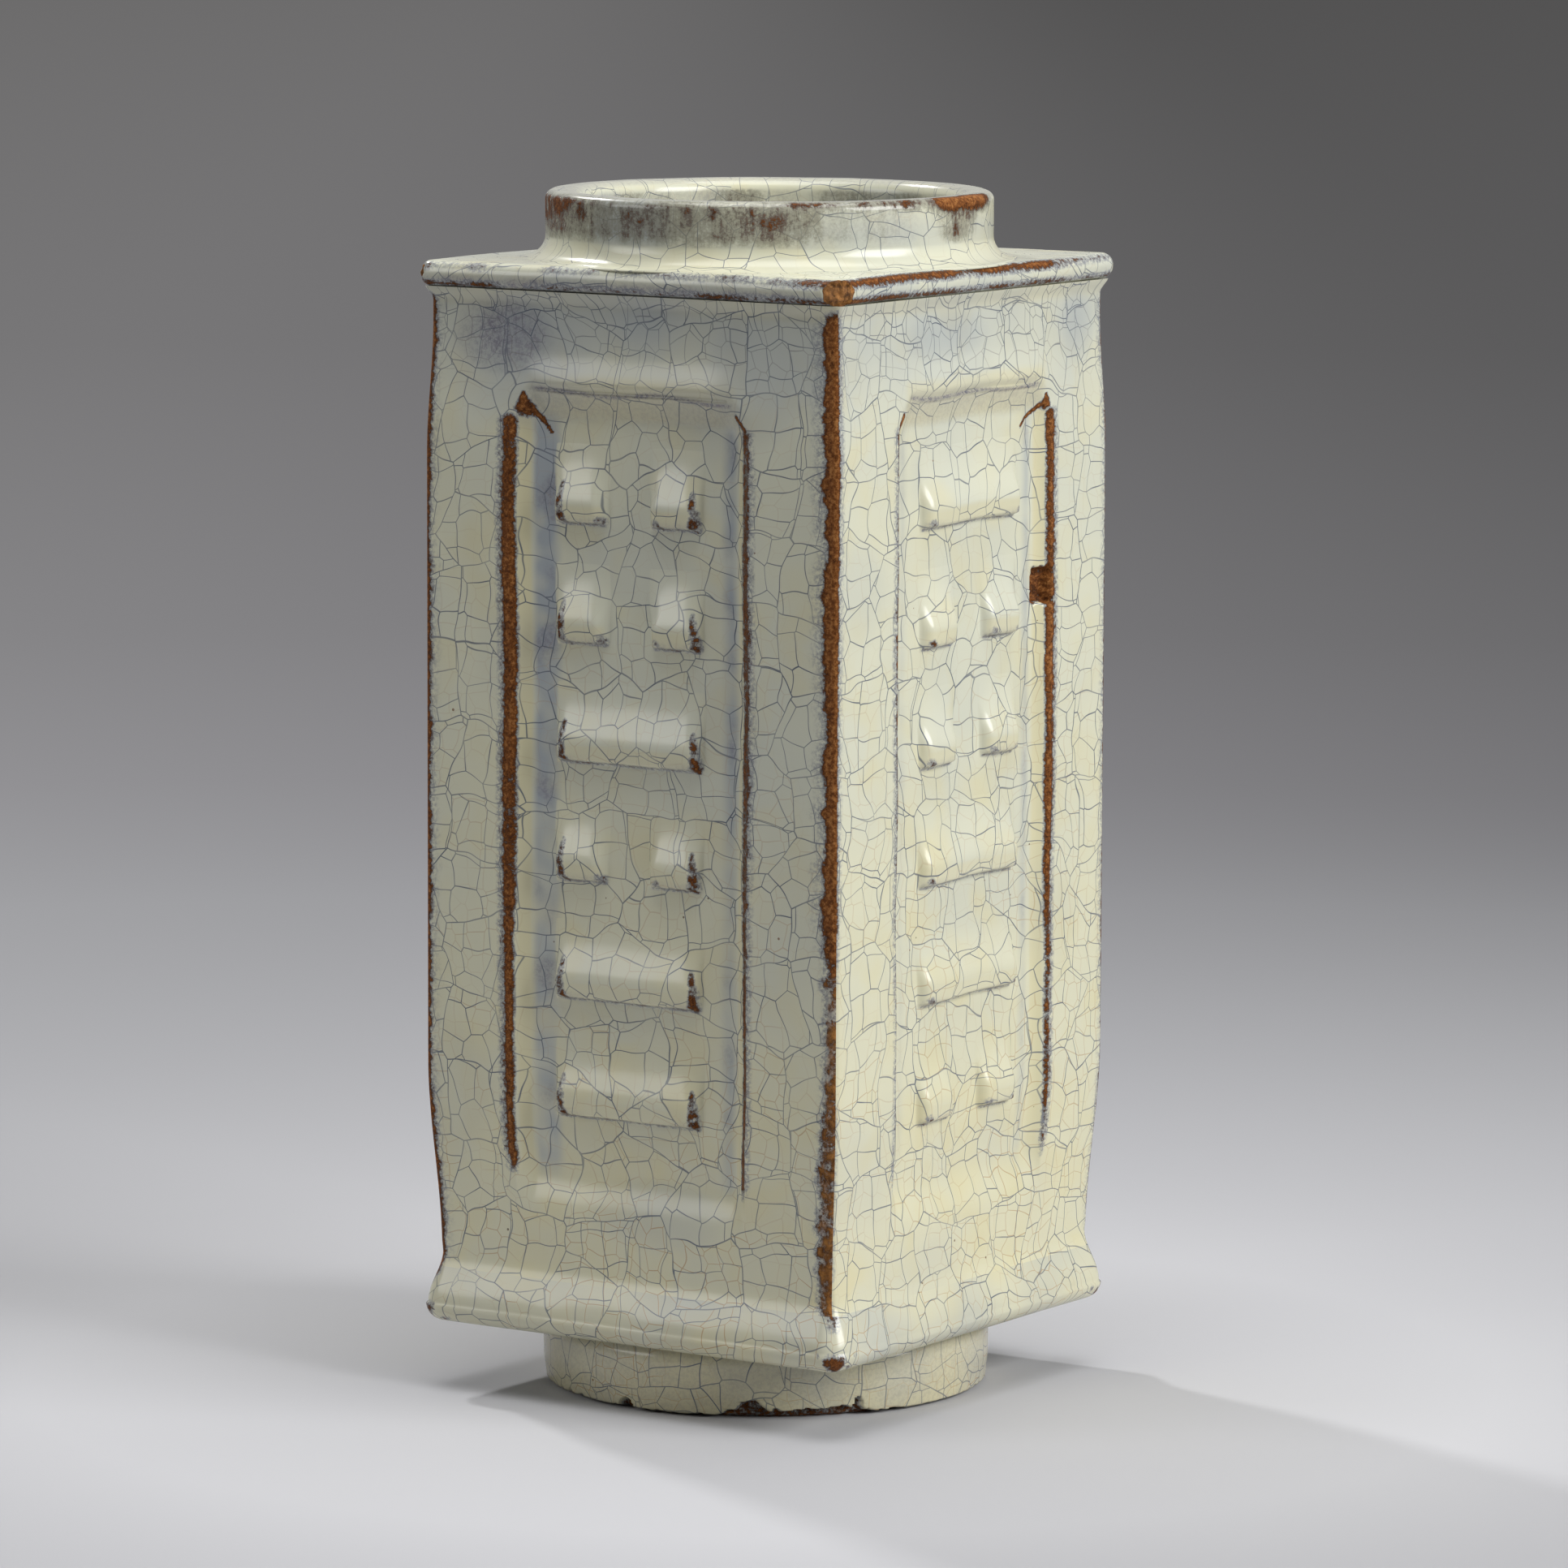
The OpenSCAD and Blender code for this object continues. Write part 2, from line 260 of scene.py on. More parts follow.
    # Pinholes and iron specks
    specks = addNode(tree, "TexVoronoi", {"feature": "F1", "Scale": 1 / (7 * mm)}, {"Vector": place})
    speckKind = addNode(tree, "SeparateColor", {}, {0: specks.outputs["Color"]})
    speckSize = addNode(tree, "MapRange",
                        {"From Min": 0.5, "From Max": 1.0, "To Min": 0.0, "To Max": 0.055},
                        {"Value": speckKind})
    speckHere = addNode(tree, "Math", {"operation": "LESS_THAN"}, {0: specks, 1: speckSize})
    speckPart = addNode(tree, "Math", {"operation": "MULTIPLY", 1: 0.75}, {0: speckHere})
    speckColour = addNode(tree, "Mix",
                          colourMix | {6: hexColour(look["rustDark"]), 7: hexColour(look["rust"])},
                          {0: speckKind.outputs[1]})
    specked = addNode(tree, "Mix", colourMix,
                      {0: speckPart, 6: layers, 7: speckColour.outputs[2]})

    # Thin glaze: a grey-violet halo, then a dark speckled border, then rust
    thinnest = addNode(tree, "Math", {"operation": "MULTIPLY_ADD", 1: 0.35, 2: -0.33},
                       {0: amounts["thinGlaze"]})
    rustTone = addNode(tree, "Math", {"operation": "ADD"}, {0: grit, 1: thinnest})
    rustGrit = addNode(tree, "ValToRGB", {}, {0: rustTone})
    ramps = rustGrit.color_ramp.elements
    ramps[0].position, ramps[0].color = 0.33, hexColour(look["rustDark"])
    ramps[1].position, ramps[1].color = 0.67, hexColour(look["rustLight"])
    ramps.new(0.5).color = hexColour(look["rust"])
    layers = specked.outputs[2]
    for colour, low, high, most in (("halo", 0.06, 0.34, 0.75), ("dark", 0.34, 0.50, 0.7)):
        there = addNode(tree, "MapRange", smooth | {"From Min": low, "From Max": high, "To Max": most},
                        {"Value": thin})
        layers = addNode(tree, "Mix", colourMix | {7: hexColour(look[colour])},
                         {0: there, 6: layers}).outputs[2]
    rustHere = addNode(tree, "MapRange", smooth | {"From Min": 0.46, "From Max": 0.62},
                       {"Value": thin}).outputs["Result"]
    rusted = addNode(tree, "Mix", colourMix, {0: rustHere, 6: layers, 7: rustGrit.outputs["Color"]})

    # Bare clay in chips and on the foot, and half through the glaze low on one corner
    clayHere = addNode(tree, "MapRange", smooth | {"From Min": 0.4, "From Max": 0.6},
                       {"Value": amounts["bareClay"]}).outputs["Result"]
    clayGrain = addNode(tree, "TexNoise", {"Scale": 1 / (1.6 * mm), "Detail": 5.0, "Roughness": 0.7},
                        {"Vector": place})
    clayMore = addNode(tree, "MapRange", {"From Min": 0.35, "From Max": 0.62}, {"Value": clayGrain})
    clay = addNode(tree, "Mix", colourMix | {6: hexColour(look["clayDark"]), 7: hexColour(look["clay"])},
                   {0: clayMore})
    colour = addNode(tree, "Mix", colourMix,
                     {0: clayHere, 6: rusted.outputs[2], 7: clay.outputs[2]}).outputs[2]

    roughThin = addNode(tree, "Mix", {"data_type": "FLOAT", 2: look["roughness"], 3: look["roughThin"]},
                        {0: rustHere})
    roughness = addNode(tree, "Mix", {"data_type": "FLOAT", 3: look["roughClay"]},
                        {0: clayHere, 2: roughThin})

    shine = addNode(tree, "Mix", {"data_type": "FLOAT", 2: look["shine"], 3: look["shineThin"]},
                    {0: rustHere})

    # Slow waves in the gloss, grit where the glaze is thin, broken clay in the chips
    waves = addNode(tree, "TexNoise", {"Scale": 1 / (look["waveSize"] * mm), "Detail": 1.0},
                    {"Vector": place})
    waveBump = addNode(tree, "Bump", {"Strength": 1.0, "Distance": 0.12 * mm}, {"Height": waves})
    gritHeight = addNode(tree, "Math", {"operation": "MULTIPLY"}, {0: grit, 1: rustHere})
    gritBump = addNode(tree, "Bump", {"Strength": 1.0, "Distance": 0.25 * mm},
                       {"Height": gritHeight, "Normal": waveBump})
    clayHeight = addNode(tree, "Math", {"operation": "MULTIPLY"}, {0: clayGrain, 1: clayHere})
    clayBump = addNode(tree, "Bump", {"Strength": 1.0, "Distance": 0.9 * mm},
                       {"Height": clayHeight, "Normal": gritBump})

    shader = addNode(tree, "BsdfPrincipled", {"IOR": 1.5},
                     {"Base Color": colour, "Roughness": roughness, "Specular IOR Level": shine,
                      "Normal": clayBump})
    addNode(tree, "OutputMaterial", {}, {"Surface": shader})
    return material


crackleGlaze = makeGlaze("crackledStonewareGlaze", crackleLook, streaks=0.2)
# The same glaze on the neck, where it ran down off the lip: thinner, browner and streaked
rimLook = dict(crackleLook, halo="#8a8878", dark="#5a4b44", cellSize=14.0, crackWidth=0.22,
               subCrackWidth=0.18, gritReach=0.7)
rimGlaze = makeGlaze("thinRunStonewareGlaze", rimLook, streaks=0.6)


# Glazed clay coils inside: pressed by hand and glazed by pouring, so dull and uneven
def makeInnerGlaze(name):
    material, tree = newMaterial(name)
    place = addNode(tree, "TexCoord").outputs["Object"]
    smears = addNode(tree, "TexNoise", {"Scale": 1 / (9 * mm), "Detail": 4.0}, {"Vector": place})
    colours = addNode(tree, "ValToRGB", {}, {0: smears})
    ends = colours.color_ramp.elements
    ends[0].position, ends[0].color = 0.35, hexColour("#b0a387")
    ends[1].position, ends[1].color = 0.65, hexColour("#cfcdb9")
    presses = addNode(tree, "Bump", {"Strength": 0.8, "Distance": 1.2 * mm}, {"Height": smears})
    shader = addNode(tree, "BsdfPrincipled", {"IOR": 1.5, "Roughness": 0.35},
                     {"Base Color": colours.outputs["Color"], "Normal": presses})
    addNode(tree, "OutputMaterial", {}, {"Surface": shader})
    return material


innerGlaze = makeInnerGlaze("pouredInnerGlaze")
for nodeName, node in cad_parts.items():
    if "coil" in nodeName:
        node.data.materials.clear()
        node.data.materials.append(innerGlaze)
print("materials made")

# The square body: sizes from the frame, and the soft shape that the slabs took in drying and firing
wallLow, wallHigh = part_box("wall_front")
body = dict(
    half=-wallLow.y / mm, inner=-wallHigh.y / mm, foot=wallLow.z / mm, head=wallHigh.z / mm,
    swell=0.4, footDraw=1.9, headDraw=0.7, coveReach=1.5, flare=3.7, flareTop=33.0, flareLow=20.5,
    arrisRadius=1.6, flareRadius=6.0,
)


def faceOut(z):  # distance from the middle to the plain face, at a height
    out = body["half"] + body["swell"]
    out -= (body["swell"] + body["footDraw"]) * ease(78, 32, z)
    out -= (body["swell"] + body["headDraw"]) * ease(220, 251, z)
    out += body["coveReach"] * ease(255.2, 259.3, z)
    return out + body["flare"] * ease(body["flareTop"], body["flareLow"], z)


def arrisRadius(z):  # the upright corners widen into the base
    return body["arrisRadius"] + (body["flareRadius"] - body["arrisRadius"]) * ease(36, body["flareLow"], z)


# The sunken panel of each face, and a soft roll of glaze over its top edge
panel = dict(
    half=33.3, low=46.0, top=235.5, depth=3.0, sideStart=0.6, sideRun=5.0, topRun=6.5, lowRun=10.0,
    cornerCut=7.0, rollRise=0.7, rollPeak=2.4, rollEnd=10.0, creaseDip=0.6,
)


def panelRelief(x, z):  # how far the face stands out, negative in the panel
    side = panel["half"] - abs(x)
    top = panel["top"] - z
    low = z - panel["low"]
    corner = (side + top - panel["cornerCut"]) * math.sqrt(0.5)
    over = max(-top, -corner)
    near = ease(227, 236, z) * ease(38, 20, abs(x))
    relief = 0
    if over > 0:
        roll = ease(panel["rollEnd"], panel["rollPeak"] - 1, over) * ease(0, panel["rollPeak"], over)
        relief += near * (panel["rollRise"] * roll - panel["creaseDip"] * ease(2.5, 0, over))
    down = (side - panel["sideStart"]) / panel["sideRun"]
    inside = min(down, top / panel["topRun"], corner / panel["topRun"])
    if inside > 0:
        crisp = 1 - (1 - min(inside, 1)) ** 1.7
        soft = ease(-2, panel["lowRun"], low)
        dip = near * panel["creaseDip"] * (1 - crisp)
        relief -= panel["depth"] * crisp * soft + dip
    return relief


def handMade(x, z, seed):  # slabs are never quite flat
    middle = ease(body["half"], 44, abs(x)) * ease(body["head"], 248, z) * ease(body["foot"], 40, z)
    return middle * (0.35 * mottle((x, 0, z), 38, seed) + 0.07 * mottle((x, 0, z), 9, seed + 3))


def wallPoint(x, z, seed, lift=0):  # a place on the front face, before it is turned to its own side
    out = faceOut(z)
    radius = arrisRadius(z)
    flat = out - radius
    across = abs(x) * out / body["half"]
    if across > flat:
        turn = (across - flat) / radius * quarterTurn / 2
        across = flat + radius * math.sin(turn)
        out = flat + radius * math.cos(turn)
    free = ease(body["half"], 46, abs(x)) * ease(body["head"], 246, z) * ease(body["foot"], 42, z)
    sway = free * 0.5 * mottle((0, 0, z), 24, seed + 5)
    rise = free * 0.6 * mottle((x, 0, 0), 21, seed + 7)
    out += lift + panelRelief(x, z) + handMade(x, z, seed)
    return Vector((math.copysign(across, x) + sway, -out, z + rise)) * mm


def strokeDepth(x, z, stroke):  # how deep a stroke through points of (x, z, half width) is at a place
    deep = 0
    for (x0, z0, wide0), (x1, z1, wide1) in zip(stroke, stroke[1:]):
        along = Vector((x1 - x0, z1 - z0))
        away = Vector((x - x0, z - z0))
        part = min(max(away.dot(along) / along.length_squared, 0), 1)
        deep = max(deep, 1.5 * (1 - (away - along * part).length / (wide0 + part * (wide1 - wide0))))
    return min(deep, 1)


def spot(x, z, mark):  # 1 in the middle of a mark of (x, z, half width, half height), 0 past its edge
    return max(0, 1 - ((x - mark[0]) / mark[2]) ** 2 - ((z - mark[1]) / mark[3]) ** 2)


# Each face with its turn, and its own marks. leftWear and rightWear are how brown its two upright corners
# are, how far the brown reaches and how much it fades lower down. strips are the panel's two brown side
# edges: from and to, inwards from the edge, and how brown. smears are the blue runs at the foot of its side
# slopes, given alike. lean moves the lines sideways, and endRuns and endWear are the slope and the brown of
# their two ends
faces = dict(
    front=dict(turn=0, leftWear=(0.66, 3.0, 0.1), rightWear=(1.14, 4.7, 1.0),
               strips=((-1.5, 1.5, 1.0), (0.3, 3.2, 0.76)), smears=((4.2, 14, 0.95), (4.4, 10.5, 0.75)),
               lean=-1.4, endRuns=(1.0, 1.8), endWear=(0.56, 0.64),
               clouds=[(-36, 248, 15, 10)], chips=[],
               pools=[(34, 240, 14, 16), (-4, 252, 40, 9), (6, 47, 22, 9), (-32, 243, 22, 18)],
               strokes=[[(-29.6, 234.6, 0.9), (-29.5, 231.6, 3.2)],
                        [(-28.2, 231.4, 1.3), (-25.6, 228.6, 0.9), (-23.2, 226.0, 0.5)],
                        [(29.0, 232.6, 0.6), (31.5, 229.6, 1.0)]]),
    right=dict(turn=1, leftWear=(1.0, 0.95, 1.4), rightWear=(0.8, 1.8, 0.2),
               strips=((0.5, 1.7, 0.85), (0.0, 1.5, 1.05)), smears=((4.4, 9.5, 0.28), (5.2, 10.5, 0.5)),
               lean=0.7, endRuns=(2.4, 1.0), endWear=(0.5, 0.4),
               clouds=[], chips=[(30.4, 188.4, 2.6, 4.3)], pools=[(-12, 249, 20, 6), (45, 248, 9, 9)],
               strokes=[[(-30.4, 232.2, 0.8), (-31.6, 229.6, 1.3), (-31.2, 226.8, 1.0), (-29.8, 224.4, 0.5)],
                        [(30.4, 232.8, 0.7), (30.6, 230.6, 2.0)],
                        [(29.4, 230.4, 1.0), (26.2, 228.2, 0.6), (23.4, 225.8, 0.4)]]),
    back=dict(turn=2, leftWear=(0.8, 1.8, 0.5), rightWear=(0.9, 3.2, 0.4),
              strips=((-0.6, 2.2, 0.85), (-0.9, 2.0, 0.95)), smears=((4.4, 11, 0.6), (4.4, 12, 0.6)),
              lean=0.3, endRuns=(1.4, 1.6), endWear=(0.6, 0.64),
              clouds=[(12, 249, 18, 8)], chips=[], pools=[(-30, 246, 18, 10), (10, 47, 20, 8)],
              strokes=[[(-32.4, 228.6, 1.2), (-30.6, 231.8, 1.1), (-25.2, 228.0, 0.5)],
                       [(32.6, 228.6, 1.2), (30.6, 231.8, 1.3), (24.6, 227.6, 0.5)]]),
    left=dict(turn=3, leftWear=(0.9, 3.2, 0.4), rightWear=(0.95, 1.8, 0.2),
              strips=((-0.8, 2.0, 0.95), (-0.5, 1.8, 0.8)), smears=((4.4, 12, 0.7), (4.4, 11, 0.6)),
              lean=-0.4, endRuns=(1.6, 1.4), endWear=(0.56, 0.64),
              clouds=[(-20, 250, 14, 7)], chips=[], pools=[(25, 247, 20, 9), (-12, 47, 24, 8)],
              strokes=[[(-29.4, 232.2, 0.6), (-31.2, 229.4, 1.0)],
                       [(32.4, 228.6, 1.1), (30.6, 231.8, 1.2), (25.0, 228.2, 0.5)]]),
)


def chipDepth(x, z, mark):  # how far inside a square-cut chip of (x, z, half width, half height) a place is
    ragged = 1.0 * mottle((x, 0, z), 2.4, 41) + 0.4 * mottle((x, 0, z), 0.9, 43)
    return min(mark[2] - abs(x - mark[0]), mark[3] - abs(z - mark[1])) + ragged


def wallPaint(x, z, face):
    seed = face["turn"] * 11
    side = panel["half"] - abs(x)
    top = panel["top"] - z
    end = 1 if x > 0 else 0
    # upright corners: a brown core in a violet halo, and low on the front one the clay half through
    wear, reach, fade = face["rightWear"] if end else face["leftWear"]
    reach *= 1 + 0.25 * mottle((end, 3, z), 14, seed) + 0.3 * mottle((end, 13, z), 2.6, seed)
    out = body["half"] - abs(x)
    lasting = 0.32 + 0.46 * ease(100, 128, z) + 0.22 * ease(150, 205, z) + 0.12 * ease(88, 70, z)
    strength = wear * max(1 + fade * (lasting - 1), 0) * ease(259, 253, z)
    fleck = mottle((x, 1, z), 2.2, seed)
    worn = 1 + (0.3 + 0.3 * fade * (1 - lasting)) * fleck
    strength *= 1 + 0.22 * mottle((end, 8, z), 30, seed)
    lower = min(fade, 1) * ease(130, 100, z)
    reach += 0.8 * lower
    soft = 2.2 + 0.4 * lower
    clay = 0.52 * lower * ramp(reach, reach - 2.6, out) * (1 + 0.3 * fleck)
    core = worn * (1.1 * ramp(reach, reach - soft, out) + 0.35 * ramp(min(reach, 2.4), 0, out))
    thin = strength * max(core, 0.3 * ramp(1.6 * reach + 2.0, reach * 0.6, out))
    # side edges of the panel: crisp towards the slope, fuzzy outwards
    outer, inner, brown = face["strips"][end]
    inner += 0.3 * mottle((end, 7, z), 11, seed) + 0.2 * mottle((end, 15, z), 2.4, seed)
    inner -= 0.5 * ease(140, 90, z)
    outer += 0.35 * mottle((end, 17, z), 2.4, seed) + 0.7 * ease(140, 90, z)
    strip = max(ramp(outer - 1.0, outer + 0.5, side), 0.48 * ramp(outer - 2.8, outer - 0.3, side))
    strip *= ramp(inner + 0.7, inner - 0.4, side) * ease(51, 58, z) * ease(231, 228, z)
    streaky = 0.86 + 0.2 * mottle((end, 9, z), 22, seed) + 0.25 * mottle((x, 2, z), 2.4, seed)
    thin = max(thin, brown * strip * streaky)
    # top edge: a dark crease line, partly thin glaze and partly painted shade of the groove, and brown
    # strokes down its mitred corners
    waver = 1.4 * mottle((x, 5, 0), 17, seed)
    creaseLineAndShade = 1.4 * (1 - abs(top + waver) / 0.8) * ease(29, 26, abs(x))
    creaseLineAndShade *= 1 + 0.5 * mottle((x, 5, 0), 8, seed)
    uneven = 0.95 + 0.2 * mottle((x, 4, z), 1.8, seed)
    thin = max([thin, 0.1 * creaseLineAndShade] + [uneven * strokeDepth(x, z, stroke) for stroke in face["strokes"]])
    # blue pools at the foot of the slopes and under the shoulder, violet clouds, and painted shade in the
    # crease and on the downward slope under the panel's top roll
    start, stop, deep = face["smears"][end]
    smear = deep * ease(start, start + 2.6, side) * ease(stop, stop - 4, side)
    smear *= ease(50, 60, z) * ease(232, 224, z)
    smear *= 1 + 0.5 * mottle((end, 2, z), 17, seed) + 0.7 * mottle((x, 3, z), 5, seed)
    pool = (0.65 + 0.35 * ease(120, 190, z)) * smear
    pool += 0.28 * ease(225, 250, z) * (1 + mottle((x, 0, z), 16, seed + 2))
    pool += 0.15 * ease(0.1, 0.5, mottle((x, 0, z), 30, seed + 4))
    for mark in face["pools"]:
        pool += 0.35 * spot(x, z, mark)
    cloudAndShade = 0.5 * smear * ease(0.0, 0.45, mottle((x, 0, z), 8, seed + 6))
    # painted shade: the slope just under the panel's top roll faces down, so it is darkened in violet
    underRollShade = ease(236, 234, z) * ease(228, 231, z) * ease(31, 28, abs(x))
    cloudAndShade = max(cloudAndShade, 0.25 * underRollShade, 1.1 * creaseLineAndShade)
    warm = 0.75 * ease(1.4, 2.2, side) * ease(5.4, 4.2, side) * ease(50, 58, z) * ease(233, 229, z)
    onRoll = ease(241, 238.5, z) * ease(228.5, 231, z) * ease(31, 28, abs(x))
    warm = max(warm, 0.55 * onRoll, 0.5 * ease(253.5, 256, z))
    warm = max(warm, 0.5 * lower * ramp(7, 1, out))
    for mark in face["clouds"]:
        cloudAndShade = max(cloudAndShade, 1.1 * spot(x, z, mark) * (0.8 + 0.5 * mottle((x, 0, z), 6, seed)))
    for mark in face["chips"]:
        # a chip bares the brown body; its right half is painted darker, as painted shade inside the chip
        chipped = 0.8 + 0.4 * mottle((x, 6, z), 3, seed) - 0.12 * ease(mark[0], mark[0] + mark[2], x)
        thin = max(thin, chipped * ease(-0.1, 0.2, chipDepth(x, z, mark)))
    return thin, warm, pool, cloudAndShade, clay


def closeBack(bm, place):  # walls the open edge back to a flat rear face
    rimEdges = [edge for edge in bm.edges if edge.is_boundary]
    for edge in rimEdges:
        edge.smooth = False
    for made in bm.faces:
        made.smooth = True
    grown = bmesh.ops.extrude_edge_only(bm, edges=rimEdges)["geom"]
    for vert in grown:
        if isinstance(vert, bmesh.types.BMVert):
            vert.co = place(vert.co)
            for layer in bm.verts.layers.float.values():  # plain glaze behind, not the wear of the edge
                vert[layer] = 0
    bmesh.ops.edgeloop_fill(bm, edges=[edge for edge in grown if isinstance(edge, bmesh.types.BMEdge)])


def gridPatch(bm, xTicks, zTicks):  # a grid whose corners are paired with their places on the face
    columns = len(xTicks) - 1
    rows = len(zTicks) - 1
    bmesh.ops.create_grid(bm, x_segments=columns, y_segments=rows, size=1)
    for vert in list(bm.verts):
        yield vert, xTicks[round((vert.co.x + 1) / 2 * columns)], zTicks[round((vert.co.y + 1) / 2 * rows)]


bodyGirth = 8 * body["half"]


def flowPlace(face, x, z):  # the left face comes first, so that the map's ends meet at the back left corner
    return 2 * body["half"] * ((face["turn"] + 1) % 4 - 1) + x, z


def innerPlace(co):  # the mitred edge of a slab runs straight back to its inner face
    return Vector((co.x * body["inner"] * mm / max(-co.y, body["inner"] * mm), -body["inner"] * mm, co.z))


def turnToSide(bm, face):  # from the front to its own side
    side = Matrix.Rotation(face["turn"] * quarterTurn, 3, "Z")
    bmesh.ops.rotate(bm, verts=bm.verts, cent=(0, 0, 0), matrix=side)


edgeStops = [(0, 0.8), (21, 0.5), (26, 0.4), (30, 0.3), (36, 1.2), (50, 0.45), (body["half"], 0)]
halfTicks = ticks(edgeStops)
wallX = [-x for x in reversed(halfTicks[1:])] + halfTicks
wallZ = ticks([(body["foot"], 0.7), (62, 0.9), (182, 0.5), (196, 0.9), (222, 0.5), (panel["top"], 0.4),
               (245, 0.9), (254, 0.4), (body["head"], 0)])
for faceName, face in faces.items():
    bm = bmesh.new()
    layers = paintLayers(bm)
    for vert, x, z in gridPatch(bm, wallX, wallZ):
        chipped = sum(-2.4 * ease(0, 0.7, chipDepth(x, z, mark)) for mark in face["chips"])
        vert.co = wallPoint(x, z, face["turn"] * 11, chipped)
        paint(vert, layers, wallPaint(x, z, face), flowPlace(face, x, z))
    closeBack(bm, innerPlace)
    turnToSide(bm, face)
    finishPiece(bm, "slab_" + faceName, ["wall_" + faceName], crackleGlaze, bodyGirth)

# Trigram lines: pressed clay under thick glaze, crisp below and soft above
bars = dict(
    length=39.2, gap=12.6, pitch=27.5, lowest=68.2, relief=3.0, lowRelief=2.3, lowEdge=0.9, ridge=4.4,
    roundRidge=1.2, upperRun=10.4, landing=1.3, innerRun=2.2, skirt=1.8, sink=0.07, back=0.8, innerWear=0.42,
)
trigrams = dict(
    thunder=("front", 3, (True, False, False)), lake=("front", 0, (True, True, False)),
    mountain=("right", 3, (False, False, True)), wind=("right", 0, (False, True, True)),
    heaven=("back", 3, (True, True, True)), earth=("back", 0, (False, False, False)),
    water=("left", 3, (False, True, False)), fire=("left", 0, (True, False, True)),
)


def softMin(a, b, reach):  # the lower of two heights, rounded where they meet
    near = max(reach - abs(a - b), 0) / reach
    return min(a, b) - near * near * reach / 4


def barRelief(u, v, half, runs):  # u from the middle of the block, v up from its lower edge
    ridge = bars["ridge"]
    run = runs[1] if u > 0 else runs[0]
    soft = ease(ridge, ridge + 9, v)
    full = min(max(half + 0.5 + 0.8 * soft - abs(u), 0) / (run + 1.2 + 4.5 * soft), 1)
    ends = 1 - (1 - full) ** 2.6
    lowFace = bars["lowRelief"] + (bars["relief"] - bars["lowRelief"]) * v / ridge
    slope = bars["relief"] * (1 - max(v - ridge, 0) / bars["upperRun"])
    slope = -softMin(-slope, 0, bars["landing"])
    return softMin(lowFace, slope, bars["roundRidge"]) * ends * ease(-0.4, bars["lowEdge"], v)


def barPaint(u, v, half, wear, seed):  # brown strokes hooked round the ends, a thin dark line below
    leftStroke = [(2.3 - half, 9.4, 1.0), (1.9 - half, 5.6, 1.5), (2.0 - half, 1.8, 1.6),
                  (3.2 - half, 0.2, 1.2)]
    rightStroke = [(half - 1.5, 8.4, 0.9), (half - 0.9, 4.2, 1.3), (half - 0.9, 0.6, 1.8)]
    vary = 0.9 + 0.7 * mottle((u, v, 0), 1.3, seed)
    thin = 0
    for stroke, strength in ((leftStroke, wear[0]), (rightStroke, wear[1])):
        lowPart = 0.78 + 0.22 * ease(8, 2, v) if strength > 0.52 else ease(3.2, 1, v)
        thin = max(thin, strokeDepth(u, v, stroke) * strength * vary * lowPart)
    under = 0.42 * (1 - abs(v) / 0.8) * ease(-0.5, 1, half - abs(u)) * (1 + 0.4 * mottle((u, 0, 4), 5, seed))
    warm = 0.5 * ease(-0.3, 0.6, v) * ease(5, 3.5, v) * ease(-0.5, 1, half - abs(u))
    # painted shade: a soft violet darkening along the lower edge near the ends, where shade falls under the
    # bar
    paintedShade = 0.4 * ease(2.6, 0.2, v) * ease(-1.2, -0.2, v)
    paintedShade *= ease(-0.8, 0.6, half - abs(u)) * ease(half - 12, half - 2, abs(u))
    return max(thin, under, 0), warm, 0, paintedShade, 0


def addBlock(bm, face, middle, low, half, wear, runs):
    block = bmesh.new()
    blockLayers = paintLayers(block)
    seed = face["turn"] * 11
    reach = half + bars["skirt"]
    top = bars["ridge"] + bars["upperRun"] + 4.5
    uHalf = ticks([(0, 1.0), (half - 4, 0.35), (reach, 0)])
    uTicks = [-u for u in reversed(uHalf[1:])] + uHalf
    vTicks = ticks([(-bars["skirt"], 0.3), (3, 0.5), (top, 0)])
    for vert, u, v in gridPatch(block, uTicks, vTicks):
        edge = max(ease(half, reach, abs(u)), ease(0, -bars["skirt"], v), ease(top - 2, top, v))
        lift = barRelief(u, v, half, runs) + 0.03 - (bars["sink"] + 0.03) * edge
        vert.co = wallPoint(middle + u, low + v, seed, lift)
        around = wallPaint(middle + u, low + v, face)
        own = barPaint(u, v, half, wear, seed + middle + low)
        amounts = [max(a, b * edge) for a, b in zip(own, around)]
        paint(vert, blockLayers, amounts, flowPlace(face, middle + u, low + v))
    closeBack(block, lambda co: Vector((co.x, co.y + bars["back"] * mm, co.z)))
    made = bpy.data.meshes.new("block")
    turnToSide(block, face)
    block.to_mesh(made)
    block.free()
    bm.from_mesh(made)
    bpy.data.meshes.remove(made)


for trigramName, (faceName, first, lines) in trigrams.items():
    face = faces[faceName]
    bm = bmesh.new()
    paintLayers(bm)
    shortHalf = (bars["length"] - bars["gap"]) / 4
    shortMiddle = bars["length"] / 2 - shortHalf
    leftRun, rightRun = face["endRuns"]
    leftWear, rightWear = face["endWear"]
    innerRun, innerWear = bars["innerRun"], bars["innerWear"]
    for row, whole in enumerate(lines):
        low = bars["lowest"] + (first + row) * bars["pitch"]
        if whole:
            blocks = [(0, bars["length"] / 2, (leftWear, rightWear), (leftRun, rightRun))]
        else:
            blocks = [(-shortMiddle, shortHalf, (leftWear, innerWear), (leftRun, innerRun)),
                      (shortMiddle, shortHalf, (innerWear, rightWear), (innerRun, rightRun))]
        for aside, half, wear, runs in blocks:
            addBlock(bm, face, face["lean"] + aside, low, half, wear, runs)
    finishPiece(bm, "lines_" + trigramName, ["trigram_" + trigramName], crackleGlaze,
                bodyGirth)


